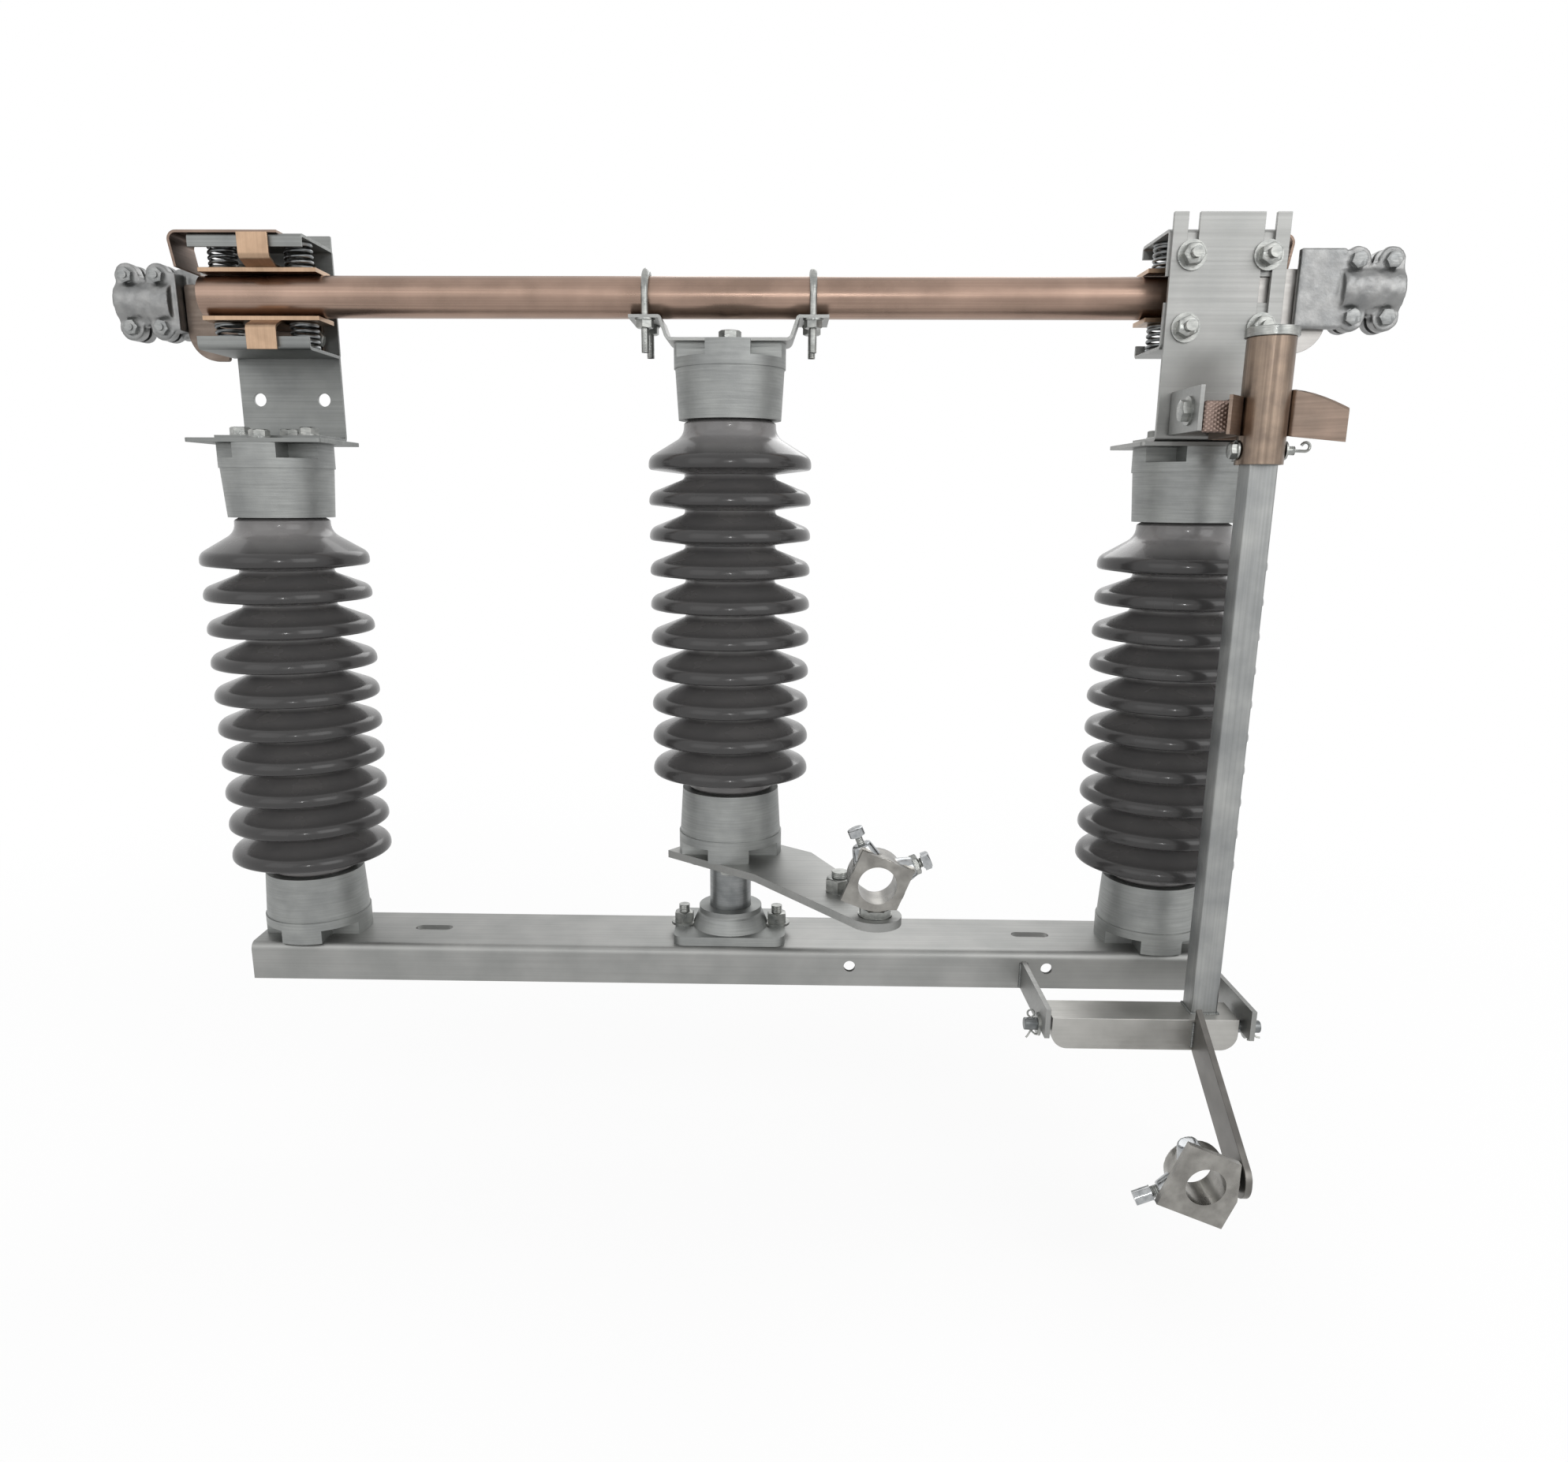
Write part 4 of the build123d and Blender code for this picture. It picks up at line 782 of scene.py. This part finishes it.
# ---- fixed contacts ------------------------------------------------------------------------
# On each outer post a seat plate and a bent bracket carry the jaw: two steel hoods with sprung
# copper shoes, and a strip that stops the tube. A copper palm leads out to the terminal clamp.
# Both ends are alike, turned half round the post.

# rolled copper strip, half hard: redder and brighter than the tube, brushed across
strip_copper = weathered_metal("rolled_copper_strip", "#98806a", "#b89c83", 25, (1.2, 60, 60),
                               (0.3, 0.44), depth=0.04, wear=0.15)
# the same galvanised sheet at the left end, its colour painted darker as painted shade on that
# side, and a little rougher
galvanised_painted_shade = weathered_metal("hot_dip_galvanised_sheet_painted_shade", "#7d7f7e", "#959795", 45,
                                  (250, 2.2, 2.2), (0.45, 0.6), depth=0.05, wear=0.2)
# the same rolled copper with a browner tarnish, on the stop strip
horn_copper = weathered_metal("rolled_copper_strip_tarnished", "#77675d", "#8f7c70", 25,
                              (60, 60, 1.6), (0.34, 0.48), depth=0.04, wear=0.2)
# tinned copper flat bar: grey tin at the right end, and a browner and darker one at the left
palm_copper = {
    "left": weathered_metal("tinned_copper_bar_worn", "#64584f", "#81766e", 28, (60, 60, 3),
                            (0.34, 0.5), depth=0.05, wear=0.2),
    "right": weathered_metal("tinned_copper_bar", "#9d9a97", "#b4b2af", 28, (60, 60, 3),
                             (0.34, 0.5), depth=0.05, wear=0.12)}
# aluminium alloy cast in a coarse sand mould: grains of 2.5 mm, and bright where they were knocked
rough_cast = weathered_metal("sand_cast_aluminium", "#828383", "#9f9f9e", 16, (9, 9, 9),
                             (0.36, 0.52), depth=0.4, wear=0.25, grain=2.5)

# the terminal's bolts, hot-dip galvanised: as dull as the casting that they hold
dull_zinc = weathered_metal("hot_dip_galvanised_bolt", "#868888", "#a0a1a0", 7, (5, 5, 1),
                            (0.36, 0.52), depth=0.12, wear=0.3)

# A coil is a line bent round and round, its ends closed flat on the seats.
CLOSED_TURNS, STEPS_A_TURN = 0.85, 26.0
coil, coil_inputs, given = geometry_tree(
    "coil_spring_set", Coil_radius="Float", Wire_radius="Float", Height="Float", Turns="Float",
    Finish="Material")
wire = add(coil, "GeometryNodeCurvePrimitiveLine", {"End": (0, 0, 1)})
steps = add(coil, "ShaderNodeMath", {0: given["Turns"], 1: STEPS_A_TURN}, operation="MULTIPLY")
wire = add(coil, "GeometryNodeResampleCurve", {0: wire, "Count": steps}, mode="COUNT")
share = add(coil, "GeometryNodeSplineParameter").outputs["Factor"]
turn = add(coil, "ShaderNodeMath", {0: share, 1: given["Turns"]}, operation="MULTIPLY")
turn = add(coil, "ShaderNodeMath", {0: turn, 1: 2 * math.pi}, operation="MULTIPLY")
east = add(coil, "ShaderNodeMath", {0: turn}, operation="COSINE")
east = add(coil, "ShaderNodeMath", {0: east, 1: given["Coil radius"]}, operation="MULTIPLY")
north = add(coil, "ShaderNodeMath", {0: turn}, operation="SINE")
north = add(coil, "ShaderNodeMath", {0: north, 1: given["Coil radius"]}, operation="MULTIPLY")
closed = add(coil, "ShaderNodeMath", {0: CLOSED_TURNS, 1: given["Turns"]}, operation="DIVIDE")
opened = add(coil, "ShaderNodeMath", {0: 1.0, 1: closed}, operation="SUBTRACT")
top = add(coil, "ShaderNodeMath", {0: given["Height"], 1: given["Wire radius"]},
          operation="SUBTRACT")
rise = add(coil, "ShaderNodeMapRange", {"Value": share, 1: closed, 2: opened,
                                        3: given["Wire radius"], 4: top})
spot = add(coil, "ShaderNodeCombineXYZ", {0: east, 1: north, 2: rise})
wire = add(coil, "GeometryNodeSetPosition", {0: wire, "Position": spot})
ring = add(coil, "GeometryNodeCurvePrimitiveCircle",
           {"Resolution": 10, "Radius": given["Wire radius"]})
wire = add(coil, "GeometryNodeCurveToMesh", {0: wire, 1: ring, "Fill Caps": True})
wire = add(coil, "GeometryNodeInstanceOnPoints", {"Points": given["Geometry"], "Instance": wire})
wire = add(coil, "GeometryNodeRealizeInstances", {0: wire})
wire = add(coil, "GeometryNodeSetMaterial", {0: wire, "Material": given["Finish"]})
add(coil, "NodeGroupOutput", {0: wire})


# The terminal is cast as one lump with four ears round a barrel, then bored and split.
tube_z = 1000 * (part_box("blade_tube")[0].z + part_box("blade_tube")[1].z) / 2
bore_y, bore_r = -40, 11
ears = [(x, tube_z + side * 24) for x in (564, 594.5) for side in (-1, 1)]
lump_mesh = one_casting("terminal_lump", [
    ((552, bore_y, tube_z), (607, bore_y, tube_z), 21.6),
    ((513, -54, tube_z - 34), (553, -46.5, tube_z + 34)),
    ((546, -53, tube_z - 27), (557, -27, tube_z + 27)),
    ((552, -52, tube_z - 22), (605.5, -28, tube_z + 22)),
    *[((x, -53.5, z), (x, -26.5, z), 12) for x, z in ears]])
for vertex in lump_mesh.vertices:
    rough_skin = noise.noise(vertex.co * 170) * 0.0005 + noise.noise(vertex.co * 640) * 0.00012
    vertex.co += vertex.normal * (rough_skin - 0.0001 if vertex.co.x > 0.549 else rough_skin * 0.1)
lump_mesh.materials.append(rough_cast)

for side, turn in (("right", 1), ("left", -1)):
    def at(x, y, z):
        """A place at the right-hand contact, turned to this side's."""
        return turn * x, turn * y, z

    front, back = at(0, -1, 0), at(0, 1, 0)
    # the left end's plate, bracket and hoods take the copy of the zinc with painted shade in its
    # colour
    sheet = galvanised if side == "right" else galvanised_painted_shade
    finished(f"{side}_seat_plate", sheet, 0.4)
    finished(f"{side}_bracket", sheet, 0.4)
    finished(f"{side}_jaw_hoods", sheet, 0.3)
    fingers = finished(f"{side}_contact_fingers", strip_copper, 0.3)
    fingers.data.materials.append(horn_copper)
    for face in fingers.data.polygons:
        x, y, z = 1000 * turn * face.center.x, 1000 * turn * face.center.y, 1000 * face.center.z
        if z > tube_z + 50.6 and y < 29.6 or x > 504.5:
            face.material_index = 1
    finished(f"{side}_palm", palm_copper[side], 0.4)

    seat = 1000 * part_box(f"{side}_seat_plate")[1].z
    fasteners(f"{side}_bracket_bolts", "base",
              [(at(POST_X + x * CAP_BOLT, y * CAP_BOLT, seat + 4), UP)
               for x, y in ((1, 0), (-1, 0), (0, -1))] + [(at(POST_X, CAP_BOLT, seat), UP)])
    jaw = [(x, z) for x in (416, 484) for z in (tube_z + 28, tube_z - 33)]
    fasteners(f"{side}_jaw_nuts", "base", [(at(x, -52, z), front) for x, z in jaw],
              flats=17, head=8.4, washer=(13, 2.2), thread=(5, 18))
    fasteners(f"{side}_jaw_bolt_heads", "base",
              [(at(x, -45 if z > tube_z else -40, z), back) for x, z in jaw], flats=17, head=6.4,
              washer=(9, 0.6), thread=(5, 3))

    mesh = bpy.data.meshes.new(f"{side}_coils")
    upper, lower = tube_z + 23.4, tube_z - 48
    mesh.from_pydata([[c / 1000 for c in at(x, 0, z)] for x in (411, 484)
                      for z in (upper, lower)], [], [])
    coils = grown(f"{side}_spring_coils", "base", coil, coil_inputs, mesh, {
        "Coil radius": 0.0119, "Wire radius": 0.0016, "Height": 0.0246, "Turns": 6.0,
        "Finish": turned})
    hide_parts(f"{side}_contact_springs")

    casting_mesh = lump_mesh.copy()
    half_turn = Matrix.Rotation(0 if turn > 0 else math.pi, 4, "Z")
    casting_mesh.transform(half_turn)
    machined(f"{side}_terminal_cast", f"{side}_terminal", casting_mesh, [
        ((552.5, bore_y, tube_z), (640, bore_y, tube_z), bore_r),
        ((552.5, bore_y - 2.5, tube_z - 50), (640, bore_y + 2.5, tube_z + 50))],
        half_turn)
    fasteners(f"{side}_terminal_bolts", "base", [(at(x, -53, z), front) for x, z in ears],
              flats=13, head=4.4, washer=(7.4, 0.6), thread=(3, 3), finish=dull_zinc)
    fasteners(f"{side}_terminal_nuts", "base", [(at(x, -27, z), back) for x, z in ears],
              flats=13, head=4.4, washer=(7.4, 0.6), thread=(3.6, 6.5), finish=dull_zinc)

# ---- earth contact -------------------------------------------------------------------------
# A small bracket on the right contact's web carries two copper fingers that take the earth blade.
# The right one is cut away and bent out to guide the blade in.


def taper_outer_finger(skin):
    """The guide of the outer finger, sloped down and narrowed towards its tip."""
    for y in (-0.09, -0.1, -0.11, -0.118, -0.126, -0.132, -0.136, -0.14, -0.144, -0.148):
        bmesh.ops.bisect_plane(skin, geom=[*skin.verts, *skin.edges, *skin.faces],
                               plane_co=(0, y, 0), plane_no=(0, 1, 0))
    for vertex in skin.verts:
        x, y, z = vertex.co
        if x > 0.470 and y < -0.080:
            arch = math.sin(min(1, (-0.080 - y) / 0.048) * math.pi / 2) * 0.006
            share = max(0, (-0.128 - y) / 0.024)
            vertex.co.z = z + (arch - 0.019 * share ** 1.5 if z > 0.534 else -0.006 * share)
            vertex.co.x = x + 0.007 * share


finished("earth_contact_bracket", galvanised, 0.3)
# copper bar, sawn and bent hot: brown with a purplish tarnish, and scale lines along it
finger_copper = weathered_metal("bent_copper_bar_tarnished", "#84756a", "#998679", 30,
                                (60, 60, 2.2), (0.3, 0.46), depth=0.06, wear=0.4)
finished("earth_contact_fingers", finger_copper, 0.3, taper_outer_finger)
fasteners("earth_bracket_bolt", "base", [((428, -56, 543), FRONT)], flats=17, head=8,
          washer=(12, 2), thread=(5, 15))
fasteners("earth_finger_bolts", "base", [((x, -59, 534), FRONT) for x in (458, 474)], flats=10,
          head=4, washer=(5.5, 1), thread=(3, 3))
fasteners("earth_finger_stud", "base", [((408, -106, 540), LEFT)], flats=17, head=6.4,
          washer=(12.5, 2), thread=(4, 5))
fasteners("earth_finger_stud_nut", "base", [((412, -106, 540), RIGHT)], flats=13, head=6.5,
          washer=(9, 1.6), thread=(4, 33))

# bare copper braid, pressed flat at its ends: strands of 0.4 mm drawn as plaits of 3 mm to show
braid = bpy.data.materials.new("flat_copper_braid")
tree = empty_tree(braid)
place = add(tree, "ShaderNodeTexCoord").outputs["Object"]
PLAIT_LEAN = 0.6
plaits = []
for lean in (PLAIT_LEAN, -PLAIT_LEAN):
    leant = add(tree, "ShaderNodeMapping", {"Vector": place, "Rotation": (0, lean, 0)})
    plaits.append(add(tree, "ShaderNodeTexWave", {"Vector": leant, "Scale": 0.314 / 0.003,
                                                  "Distortion": 0.6, "Detail": 1},
                      bands_direction="Z").outputs["Fac"])
plait = add(tree, "ShaderNodeMath", {0: plaits[0], 1: plaits[1]}, operation="MULTIPLY")
tone = add(tree, "ShaderNodeMix", {0: plait, 6: srgb("#84736b"), 7: srgb("#b8a398")},
           data_type="RGBA").outputs[2]
bump = add(tree, "ShaderNodeBump", {"Strength": 0.8, "Distance": 0.0006, "Height": plait})
shader = add(tree, "ShaderNodeBsdfPrincipled", {"Metallic": 1.0, "Roughness": 0.5,
                                                "Base Color": tone, "Normal": bump})
add(tree, "ShaderNodeOutputMaterial", {"Surface": shader})
STRAP_START, STRAP_END, STRAP_BULGE = 412.3, 441.8, 4
strap = shape_object("finger_braid", [((STRAP_START, -131, 520.5), (STRAP_END, -124, 547))])
weave = strap.modifiers.new("strap", "BEVEL")
weave.width, weave.segments = 0.0028, 4
strap_mesh = evaluated(strap)
strap_mesh.materials.append(braid)
strap_mesh.shade_smooth()
for vertex in strap_mesh.vertices:
    along = (1000 * vertex.co.x - STRAP_START) / (STRAP_END - STRAP_START)
    vertex.co.y -= STRAP_BULGE / 1000 * math.sin(math.pi * min(1, max(0, along)))
strap = linked("finger_braid", strap_mesh)
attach(strap, "base")

# ---- hinge and earth blade -----------------------------------------------------------------
# Two arms welded to the channel carry the pin that the earth blade swings on. A folded bar, a
# square pipe and the crank are welded together, and the copper tube is cross-bolted on the pipe.
for node in ("left_hinge_arm", "right_hinge_arm"):
    finished(node, galvanised, 0.4)
# sheet galvanised after it was folded: paler and smoother than the rolled channel
folded_zinc = weathered_metal("hot_dip_galvanised_folded_bar", "#abaaa6", "#bebdb9", 40,
                              (200, 2.5, 2.5), (0.36, 0.5), depth=0.04, wear=0.1)
finished("hinge_bar", folded_zinc, 0.5)
# galvanised square pipe: the seam side out of sight, with draw lines that run up it
pipe_zinc = weathered_metal("hot_dip_galvanised_pipe", "#8e9090", "#abacaa", 45, (2.4, 2.4, 260),
                            (0.4, 0.54), wear=0.3)
finished("earth_pipe", pipe_zinc, 0.8)
# flat bar, zinc plated: darker than the hot zinc, brushed along its length
crank_zinc = weathered_metal("zinc_plated_flat_bar", "#6b6966", "#807e7a", 30, (4, 90, 30),
                             (0.32, 0.46), wear=0.25)
finished("crank_lever", crank_zinc, 0.6)
finished("hinge_pin", turned, 0.8)
# the same drawn copper standing up: the die lines and darker streaks run up the tube
standing_copper = weathered_metal("drawn_copper_tube_rain_streaked", "#7b6d62", "#968576", 18,
                                  (2.2, 2.2, 180), (0.28, 0.44), depth=0.05, wear=0.5)
finished("earth_blade_tube", standing_copper, 0.4)
finished("earth_blade_cap", plated, 0.8)

pipe_low, pipe_high = (1000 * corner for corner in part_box("earth_pipe"))
pipe_x, pipe_y = (pipe_low.x + pipe_high.x) / 2, (pipe_low.y + pipe_high.y) / 2
bar_low, bar_high = (1000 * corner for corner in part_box("hinge_bar"))
pin_y, pin_z = -138, -32
along_paths("arm_welds", "base", weld_metal,
            [[(x, -50.6, -7), (x, -50.6, -34)] for x in (306, 312, 499.5)], 2.0, 0.22)
foot = pipe_low.x - 0.4, pipe_high.x + 0.4, pipe_low.y - 0.4, pipe_high.y + 0.4
along_paths("blade_welds", "earth_blade", weld_metal, [
    [(foot[0], foot[2], bar_high.z), (foot[1], foot[2], bar_high.z), (foot[1], foot[3], bar_high.z),
     (foot[0], foot[3], bar_high.z), (foot[0], foot[2], bar_high.z)],
    *[[(x, bar_low.y - 0.4, bar_high.z - 3), (x, bar_low.y - 0.4, bar_low.z + 4)]
      for x in (451.6, 458.4)]], 1.9, 0.22)
fasteners("hinge_washers", "base",
          [((306.5, pin_y, pin_z), LEFT), ((505, pin_y, pin_z), RIGHT)],
          flats=22, head=2.2, sides=32, washer=(11.5, 0.4), thread=(6, 2))


def split_pin(name, body, place, through, out, length, radius=0.9):
    """A split pin in mm: its eye, and two legs pushed through and bent apart along a direction."""
    through, out, place = Vector(through), Vector(out), Vector(place)
    eye = ring_of(place - through * (length / 2 + 4), 3.4, through, out, 14, 0.35,
                  2 * math.pi - 0.7)
    end = place + through * (length / 2 + 1.5)
    legs = [[*eye[:1], place - through * (length / 2) + out * 0.8, end + out * 0.8,
             end + out * 3.5 + through * 2.5, end + out * 7 + through * 3],
            [*eye[-1:], place - through * (length / 2) - out * 0.8, end - out * 0.8,
             end - out * 3 + through * 3.5, end - out * 5 + through * 6]]
    along_paths(name, body, plated, [eye, *legs], radius, pitch=4)


for side, x in (("left", 299), ("right", 513)):
    split_pin(f"{side}_hinge_split_pin", "base", (x, pin_y, pin_z),
              (0, -0.3, -0.95), RIGHT, 12)
cross_z = 506
fasteners("blade_cross_bolt", "earth_blade", [((pipe_x - 20, pipe_y, cross_z), LEFT)],
          flats=13, head=5.3, washer=(8.5, 1.6), thread=(4, 4))
fasteners("blade_cross_washer", "earth_blade", [((pipe_x + 20, pipe_y, cross_z), RIGHT)],
          flats=16, head=1.6, sides=32, washer=(8, 0.4), thread=(4, 9))
along_paths("blade_cross_pin", "earth_blade", plated,
            [[(pipe_x + 26, pipe_y, cross_z), (pipe_x + 38, pipe_y - 2, cross_z - 0.5)]
             + ring_of((pipe_x + 38, pipe_y - 2, cross_z + 3.2), 3.7, DOWN, RIGHT, 10, 0, 4.4)],
            1.3, pitch=4)
